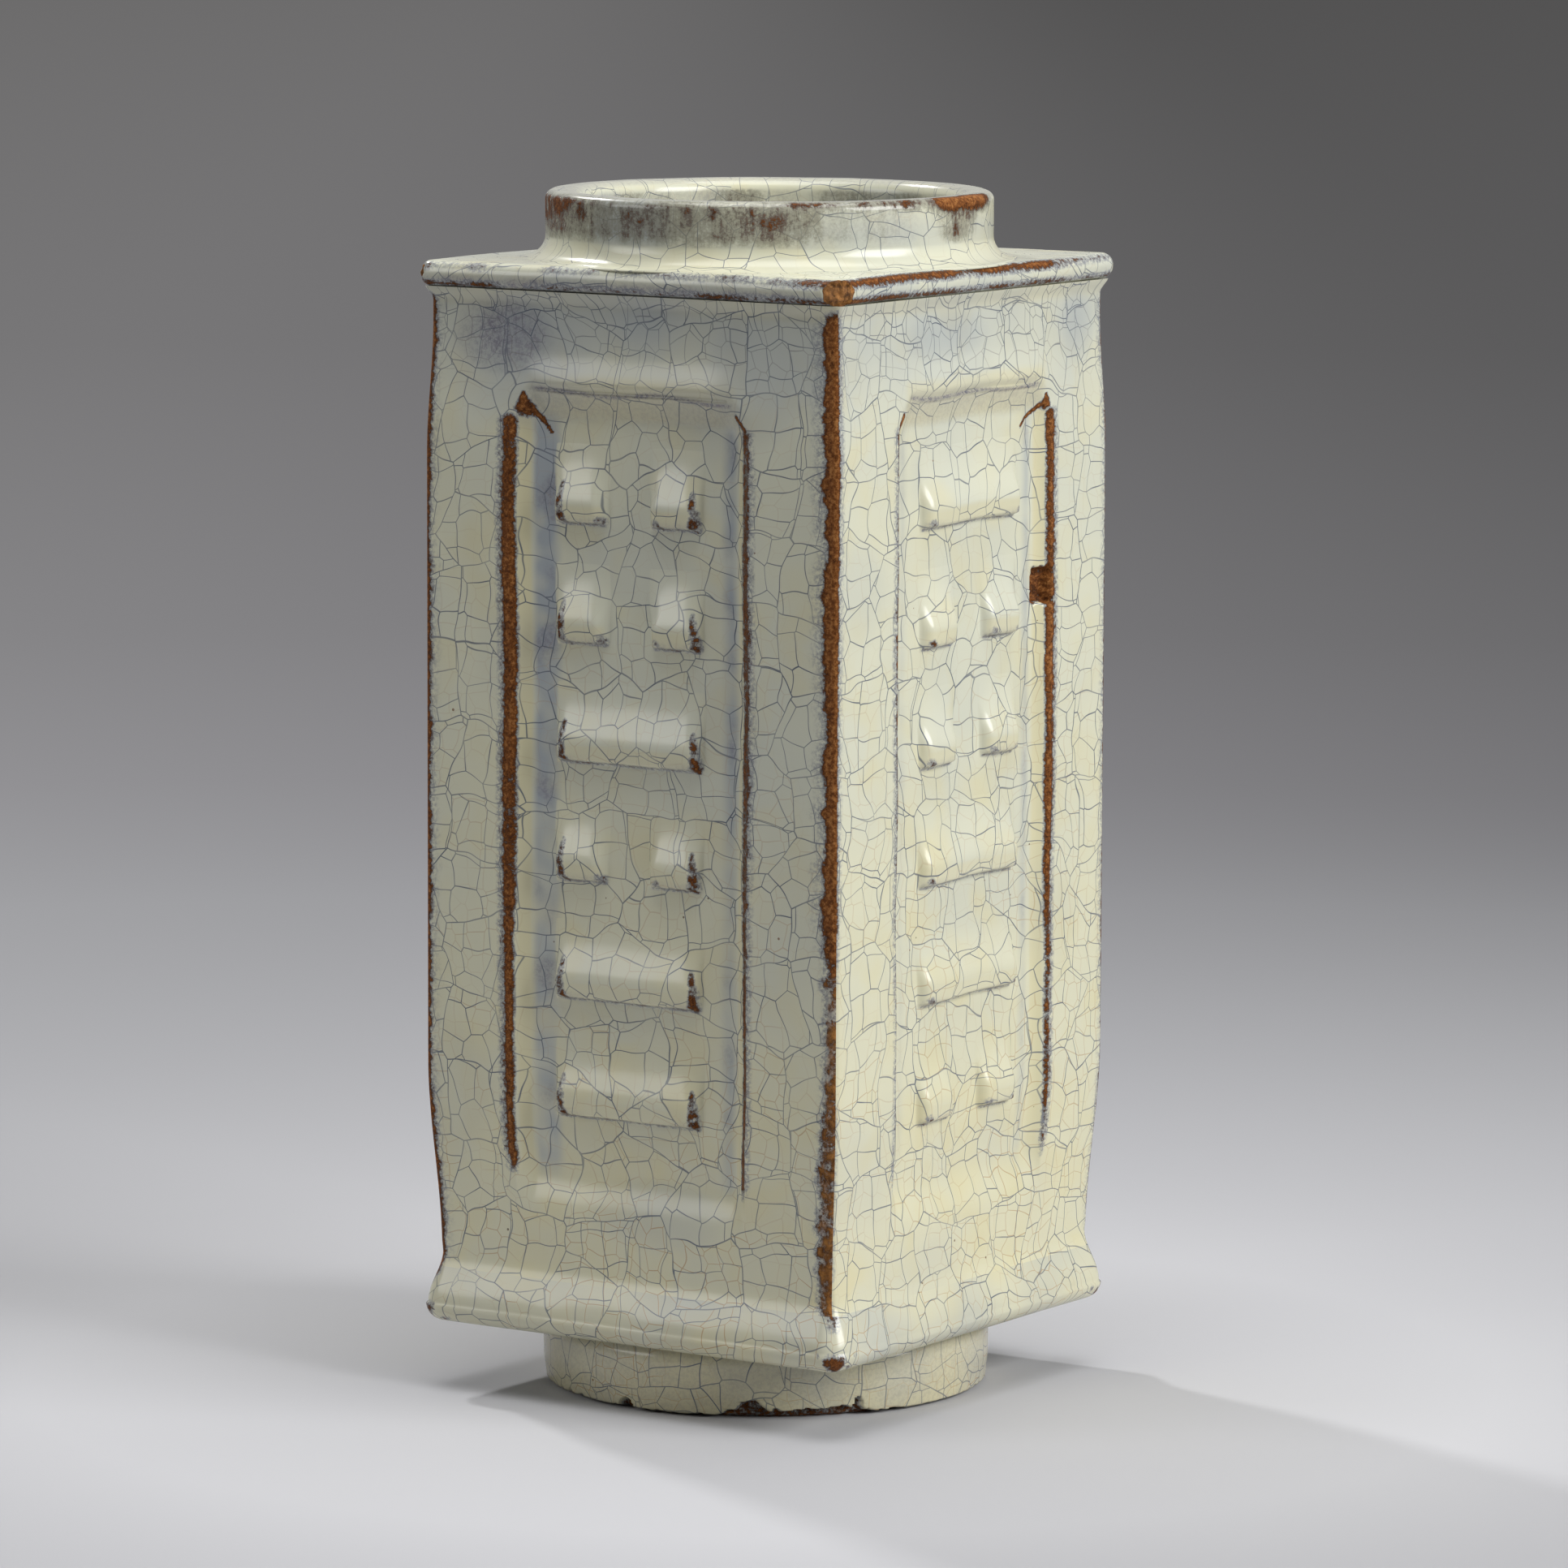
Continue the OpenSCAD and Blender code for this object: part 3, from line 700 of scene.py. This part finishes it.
# Square slabs with moulded edges: one ring of edges, drawn out from outline to outline
def ringReach(angle, half, radius):  # distance out to a rounded square, along one direction
    far = max(abs(math.cos(angle)), abs(math.sin(angle)))
    near = min(abs(math.cos(angle)), abs(math.sin(angle)))
    flat = half - radius
    if half * near / far <= flat:
        return half / far
    return flat * (far + near) + math.sqrt(max(0, (flat * (far + near)) ** 2 - 2 * flat ** 2 + radius ** 2))


def roundTheSides(angle):  # the flow map's place round the square body
    quarter = round(angle / quarterTurn)
    return 2 * body["half"] * ((quarter + 2) % 4 - 1) + body["half"] * math.tan(angle - quarter * quarterTurn)


def outlineRun(angle, stations):  # how long the outline is along one direction
    points = [Vector((ringReach(angle, half, radius), z)) for half, radius, z in stations]
    return sum((far - near).length for near, far in zip(points, points[1:]))


def drawRings(bm, stations, perSide, shape, startUp, upward):
    sideTicks = [1.5 * t - 0.5 * t ** 3 for t in (2 * i / perSide - 1 for i in range(perSide))]
    angles = [math.atan2(t, 1) + q * quarterTurn for q in range(4) for t in sideTicks]
    bmesh.ops.create_circle(bm, segments=len(angles), radius=1)
    bm.verts.ensure_lookup_table()
    for vert in bm.verts:
        turn = math.atan2(vert.co.y, vert.co.x) / (2 * math.pi) * len(angles)
        angle = angles[round(turn) % len(angles)]
        vert.co = (math.cos(angle), math.sin(angle), 0)
    ring = list(bm.edges)
    verts = list(bm.verts)
    for number, station in enumerate(stations):
        if number:
            grown = bmesh.ops.extrude_edge_only(bm, edges=ring)["geom"]
            ring = [g for g in grown if isinstance(g, bmesh.types.BMEdge)]
            verts = [g for g in grown if isinstance(g, bmesh.types.BMVert)]
        for vert in verts:
            angle = math.atan2(vert.co.y, vert.co.x)
            up = startUp + upward * outlineRun(angle, stations[:number + 1])
            shape(vert, angle, station, (roundTheSides(angle), up))
    return ring


def arcStations(half, radius, z, start, end, count, cornerMiddle):
    stations = []
    for i in range(count + 1):
        a = math.radians(start + (end - start) * i / count)
        out = half + radius * math.cos(a)
        stations.append((out, max(out - cornerMiddle, 0.3), z + radius * math.sin(a)))
    return stations


# Shoulder slab: a rolled edge, browned along both its lips and chipped at the front corner
shoulderLow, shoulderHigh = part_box("shoulder_plate")
neckLow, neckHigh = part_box("neck_ring")
shoulder = dict(
    edge=shoulderHigh.x / mm - 0.15, low=shoulderLow.z / mm, top=shoulderHigh.z / mm, lip=2.8, corner=3.5,
    mouth=44.0, chip=(59, -59, 261, 5.4), wornCorner=(-59, -59, 262, 3.0),
)


def shoulderShape(vert, angle, station, flow):
    half, radius, z = station
    reach = ringReach(angle, half, radius)
    spread = ease(50, 57, half)
    reach += spread * 0.14 * mottle((60 * math.cos(angle), 60 * math.sin(angle), z), 14, 2)
    place = Vector((reach * math.cos(angle), reach * math.sin(angle), z))
    place.z += spread * 0.22 * mottle((place.x, place.y, 0), 26, 5)
    clay = 0
    edgeTop = 1 - (Vector((half, z)) - Vector((shoulder["edge"] - 0.6, shoulder["top"] - 0.6))).length / 2.5
    edgeLow = 1 - (Vector((half, z)) - Vector((shoulder["edge"] - 0.6, shoulder["low"] + 0.7))).length / 2.0
    vary = 0.35 * mottle(place, 16, 8) + 0.2 * mottle(place, 5, 9)
    facing = math.degrees(angle) % 360
    rightSide = ease(300, 325, facing) if facing > 180 else ease(60, 35, facing)
    if facing < 30:
        rightSide = 1
    worn = rightSide * (ease(62, 5, facing) if facing < 180 else 1)
    thin = max(edgeTop * (0.3 + 0.66 * worn + 1.3 * vary),
               edgeLow * (0.56 + 0.2 * worn - 0.3 * (rightSide - worn) + 1.5 * vary), 0)
    onEdge = spread * ease(shoulder["top"] - 0.2, shoulder["top"] - 1.5, z)
    pool = onEdge * (0.3 - 0.2 * rightSide + 0.3 * mottle(place, 20, 4))
    streaky = 0.7 + 0.7 * mottle((place.x, place.y, 0), 5, 11)
    # violet on the roll's lower half away from the lit right side: partly the glaze's own, partly painted
    # shade of the roll's underside
    cloudAndShade = 1.2 * (1 - rightSide) * spread * ease(shoulder["top"] - 2, shoulder["low"] + 1.2, z) * streaky
    for x, y, h, size in (shoulder["chip"], shoulder["wornCorner"]):
        away = (place - Vector((x, y, h))).length + 0.9 * mottle(place, 1.6, 3)
        if away < size:
            inward = Vector((-x, -y, 0)).normalized()
            place += inward * (size - away) * 0.55 + inward * 0.5 * mottle(place, 1.2, 6)
            clay = max(clay, ease(size, size - 0.6, away))
    vert.co = place * mm
    paint(vert, shoulderLayers, (thin, 0, pool, cloudAndShade, clay), flow)


lip = shoulder["lip"]
cornerMiddle = shoulder["edge"] - shoulder["corner"]
stations = [(shoulder["mouth"], shoulder["mouth"], shoulder["low"]), (50, 20, shoulder["low"]),
            (54, 4, shoulder["low"])]
stations += arcStations(shoulder["edge"] - lip, lip, shoulder["low"] + lip, -90, 0, 8, cornerMiddle)
stations += arcStations(shoulder["edge"] - lip, lip, shoulder["top"] - lip, 0, 90, 8, cornerMiddle)
stations += [(56, 4, shoulder["top"]), (55, 10, shoulder["top"]), (53, 30, shoulder["top"]),
             (shoulder["mouth"], shoulder["mouth"], shoulder["top"])]
bm = bmesh.new()
shoulderLayers = paintLayers(bm)
lastRing = drawRings(bm, stations, 170, shoulderShape, 220, 1)
firstRing = [edge for edge in bm.edges if edge.is_boundary and edge not in set(lastRing)]
bmesh.ops.bridge_loops(bm, edges=firstRing + lastRing)
for made in bm.faces:
    made.smooth = True
finishPiece(bm, "shoulder_slab", ["shoulder_plate"], crackleGlaze, bodyGirth)

# Base slab: sweeps out of the walls into a fat roll, brown at the tips of its corners
baseLow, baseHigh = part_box("base_plate")
base = dict(edge=baseHigh.x / mm - 0.1, low=baseLow.z / mm, top=baseHigh.z / mm, roll=4.5, corner=6.0,
            floorShare=0.85)


def baseShape(vert, angle, station, flow):
    half, radius, z = station
    reach = ringReach(angle, half, radius)
    spread = ease(27, 22, z) * ease(52, 56, half)
    reach -= spread * 0.5 * abs(mottle((60 * math.cos(angle), 60 * math.sin(angle), z), 22, 12))
    place = Vector((reach * math.cos(angle), reach * math.sin(angle), z))
    cornerPoint = base["edge"] - base["corner"] * (1 - math.sqrt(0.5))
    tip = ease(cornerPoint - 3.2, cornerPoint - 1.6, min(abs(place.x), abs(place.y))) * ease(21.8, 19.0, z)
    thin = 0.66 * tip * (1 + 0.5 * mottle(place, 4, 3) + 0.7 * mottle(place, 1.6, 5))
    flecked = ease(cornerPoint - 10, cornerPoint - 3, min(abs(place.x), abs(place.y))) * ease(22.0, 18.6, z)
    thin = max(thin, 0.62 * flecked * ease(0.05, 0.4, mottle(place, 1.7, 9)))
    arris = 1 - abs(abs(place.x) - abs(place.y)) / (math.sqrt(2) * 2.4)
    thin = max(thin, 0.6 * arris * ease(23.5, 27.5, z) * (1 + 0.4 * mottle(place, 2.2, 8)))
    pool = 0.25 + 0.3 * mottle(place, 18, 7)
    underside = ease(base["low"] + 0.4, base["low"], z) * 0.3
    vert.co = place * mm
    paint(vert, baseLayers, (max(thin, 0), 0, max(pool, 0) + underside, 0, 0), flow)


cornerMiddle = base["edge"] - base["corner"]
stations = []
for i in range(13):
    z = base["top"] + (body["flareLow"] - base["top"]) * i / 12
    stations.append((min(faceOut(z), base["edge"]), arrisRadius(z), z))
stations += arcStations(base["edge"] - base["roll"], base["roll"], body["flareLow"], 0, -90, 12,
                        cornerMiddle)[1:]
stations += [(53, 12, base["low"]), (50, 40, base["low"])]
bm = bmesh.new()
baseLayers = paintLayers(bm)
lastRing = drawRings(bm, stations, 170, baseShape, base["top"], -1)
for edge in lastRing:
    edge.smooth = False
bmesh.ops.edgeloop_fill(bm, edges=lastRing)
share = base["floorShare"]
closeBack(bm, lambda co: Vector((share * co.x, share * co.y, co.z)))  # the floor inside, between the walls
finishPiece(bm, "base_slab", ["base_plate"], crackleGlaze, bodyGirth)


# Round pieces: an outline spun about the middle
def spinOutline(bm, outline, steps):
    verts = [bm.verts.new((out * mm, 0, z * mm)) for out, z in outline]
    flow = bm.verts.layers.float_vector["flow"]
    for vert, before in zip(verts[1:], verts):
        vert[flow] = (0, before[flow].y + (vert.co - before.co).length, 0)
    edges = [bm.edges.new(pair) for pair in zip(verts, verts[1:] + verts[:1])]
    bmesh.ops.spin(bm, geom=verts + edges, cent=(0, 0, 0), axis=(0, 0, 1), angle=2 * math.pi, steps=steps,
                   use_merge=True)
    bmesh.ops.remove_doubles(bm, verts=bm.verts, dist=0.001 * mm)
    for made in bm.faces:
        made.smooth = True


def roundTheRing(angle, out):  # the flow map's place round a ring
    return (angle - 1.5 * quarterTurn) % (4 * quarterTurn) * out


def arcPoints(out, z, radius, start, end, count):
    turns = [math.radians(start + (end - start) * i / count) for i in range(count + 1)]
    return [(out + radius * math.cos(a), z + radius * math.sin(a)) for a in turns]


# Neck: glaze ran off it in streaks, rust at the lip
neck = dict(
    out=52.0, mouth=44.0, low=neckLow.z / mm, top=neckHigh.z / mm, cove=5.2, lipOut=2.0, lipIn=3.0,
    seenSide=-56,  # degrees round to the middle of the side that the camera sees
    # runs of thin glaze: from and to, in degrees to the right of that, and how thin above and below
    runs=[(-106, -44, 0.5, 0.42), (-92, -56, 0.66, 0.48), (-48, 13, 0.41, 0.38), (-12, 13, 0.5, 0.36),
          (12, 38, 0.15, 0.14), (46, 66, 0.5, 0.24), (48, 62, 0.3, 0.46), (64, 95, 0.12, 0.06),
          (95, 140, 0.35, 0.2), (140, 180, 0.46, 0.3), (-180, -150, 0.46, 0.3), (-150, -100, 0.3, 0.2)],
)
outline = [(neck["mouth"], neck["low"])]
wallStops = [(neck["low"] + 1, 0.8), (neck["top"] - neck["lipIn"], 0)]
outline += [(neck["mouth"], z) for z in ticks(wallStops)[:-1]]
lipIn, lipOut, cove = neck["lipIn"], neck["lipOut"], neck["cove"]
outline += arcPoints(neck["mouth"] + lipIn, neck["top"] - lipIn, lipIn, 180, 90, 10)
outline += arcPoints(neck["out"] - lipOut, neck["top"] - lipOut, lipOut, 90, 0, 8)
outline += [(neck["out"], neck["top"] - lipOut - 0.6 * i) for i in range(1, 11)]
outline += arcPoints(neck["out"] + cove, neck["low"] + 0.05 + cove, cove, 180, 262, 12)
outline += [(neck["out"] + cove + 1.2, neck["low"] - sunk) for sunk in (0.1, 0.5)]
bm = bmesh.new()
neckLayers = paintLayers(bm)
spinOutline(bm, outline, 480)
for vert in bm.verts:
    place = vert.co / mm
    angle = math.atan2(place.y, place.x)
    out = math.hypot(place.x, place.y)
    around = (60 * math.cos(angle), 60 * math.sin(angle), 0)
    wall = ease(neck["low"] + 4, neck["low"] + 7, place.z) * ease(46, 49, out)
    lift = 0.22 * mottle(around, 20, 3) + 0.1 * mottle(around, 7, 4)
    grow = 1 + wall * lift / out
    sag = 0.25 * ease(neck["low"], neck["top"], place.z) * abs(mottle(around, 30, 6))
    vert.co = Vector((place.x * grow, place.y * grow, place.z - sag)) * mm
    turned = (math.degrees(angle) - neck["seenSide"] + 180) % 360 - 180 + 5 * mottle(around, 8, 21)
    upper = ease(neck["top"] - 7.5, neck["top"] - 2.5, place.z + 1.2 * mottle(around, 5, 23))
    band = wall * ease(neck["top"] + 0.4, neck["top"] - 1.4, place.z)
    runsHere = 0
    for start, end, thinAbove, thinBelow in neck["runs"]:
        run = ease(start - 8, start + 8, turned) * ease(end + 8, end - 8, turned)
        run *= thinBelow + (thinAbove - thinBelow) * upper
        runsHere = max(runsHere, run * (1 + 0.42 * mottle(place, 3.5, 27)))
    lipPatch = ease(38, 50, turned) * ease(82, 70, turned)
    lipLine = 1 - math.hypot(out - neck["out"] + 0.9, place.z - neck["top"] + 0.8) / (2.6 + 1.4 * lipPatch)
    lipWear = max(1.5 * lipPatch, 0.6 * ease(0, 10, turned) * ease(50, 42, turned),
                  0.3 * ease(100, 80, abs(turned)))
    lipWear *= 0.9 + 0.1 * lipPatch + (0.7 - 0.4 * lipPatch) * mottle(around, 6, 25)
    thin = max(band * runsHere, lipLine * lipWear, 0)
    inside = ease(46, 44.3, out) * ease(neck["top"] - 1.6, neck["top"] - 3.6, place.z)
    onRim = ease(neck["top"] - 1.5, neck["top"] - 0.4, place.z)
    pool = 0.3 * band * (1 - upper) + 0.35 * onRim
    pool += 0.3 * ease(neck["low"] + 7, neck["low"] + 5, place.z) * wall
    pool += 0.6 * band * ease(-58, -48, turned) * ease(-20, -32, turned)
    pool += 0.6 * inside * ease(-0.2, 0.4, mottle(around, 16, 33))
    cloudAndShade = 0.3 * band * ease(-0.1, 0.5, mottle(around, 14, 31)) * ease(70, 45, abs(turned))
    cloudAndShade += 0.25 * onRim
    cloudAndShade = max(cloudAndShade, inside * (0.34 + 0.5 * mottle(around, 9, 35)))
    thin = max(thin, inside * (0.2 + 0.3 * mottle(around, 12, 37)))
    warm = max(0.15 * ease(neck["low"] + 5, neck["low"] + 2, place.z), 0.4 * onRim)
    paint(vert, neckLayers, (thin, warm, pool, cloudAndShade, 0),
          (roundTheRing(angle, neck["out"]), vert[neckLayers[-1]].y / mm))
finishPiece(bm, "neck_collar", ["neck_ring"], rimGlaze, 4 * quarterTurn * neck["out"])

# Foot: glaze stops in a flaked edge above the bare clay that it stands on
footLow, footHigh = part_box("foot_ring")
foot = dict(
    out=footHigh.x / mm, wall=8.0, top=footHigh.z / mm,
    gapSide=-47,  # degrees round to the middle of the widest gap under the glaze
    chips=[(-60, 4, 2.6), (-32, 1.2, 3.0), (-95, 2.5, 2.2)],  # degrees round, half width, height
)
inner = foot["out"] - foot["wall"]
outline = [(foot["out"] + 0.5, foot["top"]), (foot["out"] + 0.5, 12), (foot["out"] + 0.45, 8)]
outline += [(foot["out"] + 0.4 - 0.035 * i, 6 - 0.3 * i) for i in range(18)]
outline += [(foot["out"] - 1.0, 0.3), (foot["out"] - 1.6, 0)]
outline += [(inner + 1.6, 0), (inner + 0.7, 0.5), (inner, 1.4), (inner, 8), (inner, foot["top"])]
bm = bmesh.new()
footLayers = paintLayers(bm)
spinOutline(bm, outline, 600)
for vert in bm.verts:
    place = vert.co / mm
    angle = math.atan2(place.y, place.x)
    out = math.hypot(place.x, place.y)
    around = (60 * math.cos(angle), 60 * math.sin(angle), 0)
    gapAway = abs((math.degrees(angle) - foot["gapSide"] + 180) % 360 - 180)
    flakes = 0.25 + 1.5 * ease(26, 12, gapAway)
    flakes += 1.5 * max(0, mottle(around, 1.7, 2)) + 1.0 * max(0, mottle(around, 5, 5))
    for middle, spread, tall in foot["chips"]:
        away = (math.degrees(angle) - middle + 180) % 360 - 180
        flakes += tall * max(0, 1 - (away / spread) ** 2)
    clay = ease(flakes + 0.15, flakes - 0.15, place.z) if place.z < 7 else 0
    bite = clay * (2.4 + 0.5 * mottle(place, 2, 4)) if out > foot["out"] - 2.0 else 0
    grow = 1 - bite / out
    vert.co = Vector((place.x * grow, place.y * grow, place.z)) * mm
    # dark brown over the bared foot: partly the iron body, partly painted shade in the undercut gap
    thin = 0.16 * ease(flakes + 0.4, flakes, place.z) + 0.4 * clay if place.z < 7 else 0
    clay *= 0.1 + 0.4 * ease(0.0, 0.3, mottle(place, 3, 9))
    pool = 0.1 + 0.4 * mottle(place, 15, 8)
    # cream and violet all round the foot: partly the glaze's own tint, partly painted shade under the
    # overhanging base
    paint(vert, footLayers, (thin, 0.85, pool, 0.3, clay),
          (roundTheRing(angle, foot["out"]), vert[footLayers[-1]].y / mm))
finishPiece(bm, "foot_collar", ["foot_ring"], crackleGlaze, 4 * quarterTurn * foot["out"])
print("pieces made")

# Camera: where the vase is seen from, its turn and tilt, and a long lens
view = dict(azimuth=33.8427, distance=1924.138, height=393.29, tilt=7.47517, roll=0.207435, aim=-0.113244,
            lens=190.25)
azimuth = math.radians(view["azimuth"])
heading = math.radians(view["azimuth"] + view["aim"])
tilt = math.radians(view["tilt"])
roll = math.radians(view["roll"])
toward = Vector((math.sin(azimuth), -math.cos(azimuth), 0))  # level, from the vase to the camera
rightward = Vector((math.cos(heading), math.sin(heading), 0))
ahead = Vector((-math.sin(heading) * math.cos(tilt), math.cos(heading) * math.cos(tilt), -math.sin(tilt)))
upward = rightward.cross(ahead)
cameraRight = math.cos(roll) * rightward + math.sin(roll) * upward
cameraUp = -math.sin(roll) * rightward + math.cos(roll) * upward
camera = bpy.data.objects.new("camera", bpy.data.cameras.new("camera"))
camera.data.lens = view["lens"]
camera.data.sensor_width = 36
camera.data.clip_end = 100
camera.matrix_world = Matrix((cameraRight, cameraUp, -ahead)).transposed().to_4x4()
camera.location = (toward * view["distance"] + Vector((0, 0, view["height"]))) * mm
bpy.context.collection.objects.link(camera)
bpy.context.scene.camera = camera

# Floor: pale paper by the vase with painted light falloff: its colour falls off into grey with distance
# and is darker to the right
floorReach = 14.0  # metres
bm = bmesh.new()
bmesh.ops.create_circle(bm, segments=96, radius=floorReach, cap_ends=True)
floorMesh = bpy.data.meshes.new("floor")
bm.to_mesh(floorMesh)
bm.free()
floor = bpy.data.objects.new("floor", floorMesh)
bpy.context.collection.objects.link(floor)
paintedFalloffPaper, tree = newMaterial("paperWithPaintedFalloff")
place = addNode(tree, "TexCoord").outputs["Object"]
away = addNode(tree, "VectorMath", {"operation": "LENGTH"}, {0: place}).outputs["Value"]
fall = addNode(tree, "Math", {"operation": "LOGARITHM", 1: 10.0}, {0: away})
spread = addNode(tree, "MapRange", {"From Min": -1.0, "From Max": 1.0}, {"Value": fall})
paintedFalloff = addNode(tree, "ValToRGB", {}, {0: spread})
stops = paintedFalloff.color_ramp.elements
stops[0].position, stops[0].color = 0.12, hexColour("#c2c2c5")
stops[1].position, stops[1].color = 1.0, hexColour("#686767")
for position, paintedShade in ((0.2, "#b7b7ba"), (0.34, "#a8a8ab"), (0.45, "#9e9ea1"),
                        (0.52, "#8f8e91"), (0.60, "#828183"), (0.75, "#737273")):
    stop = stops.new(position)
    stop.color = hexColour(paintedShade)
sideways = addNode(tree, "VectorMath", {"operation": "DOT_PRODUCT", 1: rightward}, {0: place})
paintedDimmingRight = addNode(tree, "MapRange",
                 smooth | {"From Min": -0.45, "From Max": 0.55, "To Min": 1.08, "To Max": 0.62},
                 {"Value": sideways.outputs["Value"]})
lit = addNode(tree, "BsdfDiffuse", {}, {"Color": paintedFalloff.outputs["Color"]})
glow = addNode(tree, "Emission", {}, {"Color": paintedFalloff.outputs["Color"], "Strength": paintedDimmingRight})
farOff = addNode(tree, "MapRange", smooth | {"From Min": 0.35, "From Max": 1.1}, {"Value": away})
# Far off, the paper glows with painted light to the camera and in the gloss, and lights nothing
ray = addNode(tree, "LightPath")
direct = addNode(tree, "Math", {"operation": "MAXIMUM"},
                 {0: ray.outputs["Is Camera Ray"], 1: ray.outputs["Is Glossy Ray"]})
seen = addNode(tree, "Math", {"operation": "MAXIMUM"}, {0: direct, 1: ray.outputs["Is Transmission Ray"]})
glowing = addNode(tree, "Math", {"operation": "MULTIPLY"}, {0: seen, 1: farOff})
blend = addNode(tree, "MixShader", {}, {0: glowing, 1: lit, 2: glow})
addNode(tree, "OutputMaterial", {}, {"Surface": blend})
floorMesh.materials.append(paintedFalloffPaper)

# World: a soft grey room
world = bpy.data.worlds.new("greyRoom")
bpy.context.scene.world = world
world.use_nodes = True
room = world.node_tree.nodes["Background"]
room.inputs["Color"].default_value = hexColour("#9c9c9f")
tree = world.node_tree
mirrored = addNode(tree, "LightPath").outputs["Is Glossy Ray"]  # the backdrop, seen in the gloss
strength = addNode(tree, "MapRange", {"To Min": 0.07, "To Max": 1.0}, {"Value": mirrored})
tree.links.new(strength.outputs["Result"], room.inputs["Strength"])

# Lamps, placed from the camera's side: a small one high behind the left, and soft ones at the right,
# overhead and left
lamps = dict(
    backKey=dict(right=-0.9, toward=-1.35, height=1.55, size=0.14, power=17),
    rightSoft=dict(right=1.5, toward=0.87, height=1.0, size=1.1, power=34.5),
    overhead=dict(right=0.0, toward=0.15, height=1.6, size=1.2, power=15.8),
    leftSoft=dict(right=-1.75, toward=0.45, height=0.92, size=0.85, power=6.2),
)
for lampName, lamp in lamps.items():
    light = bpy.data.lights.new(lampName, "AREA")
    light.size = lamp["size"]
    light.energy = lamp["power"]
    stand = bpy.data.objects.new(lampName, light)
    stand.location = rightward * lamp["right"] + toward * lamp["toward"] + Vector((0, 0, lamp["height"]))
    stand.rotation_euler = (stand.location - Vector((0, 0, 0.14))).to_track_quat("Z", "Y").to_euler()
    bpy.context.collection.objects.link(stand)
bpy.context.scene.view_settings.view_transform = "Standard"
print("stage made")
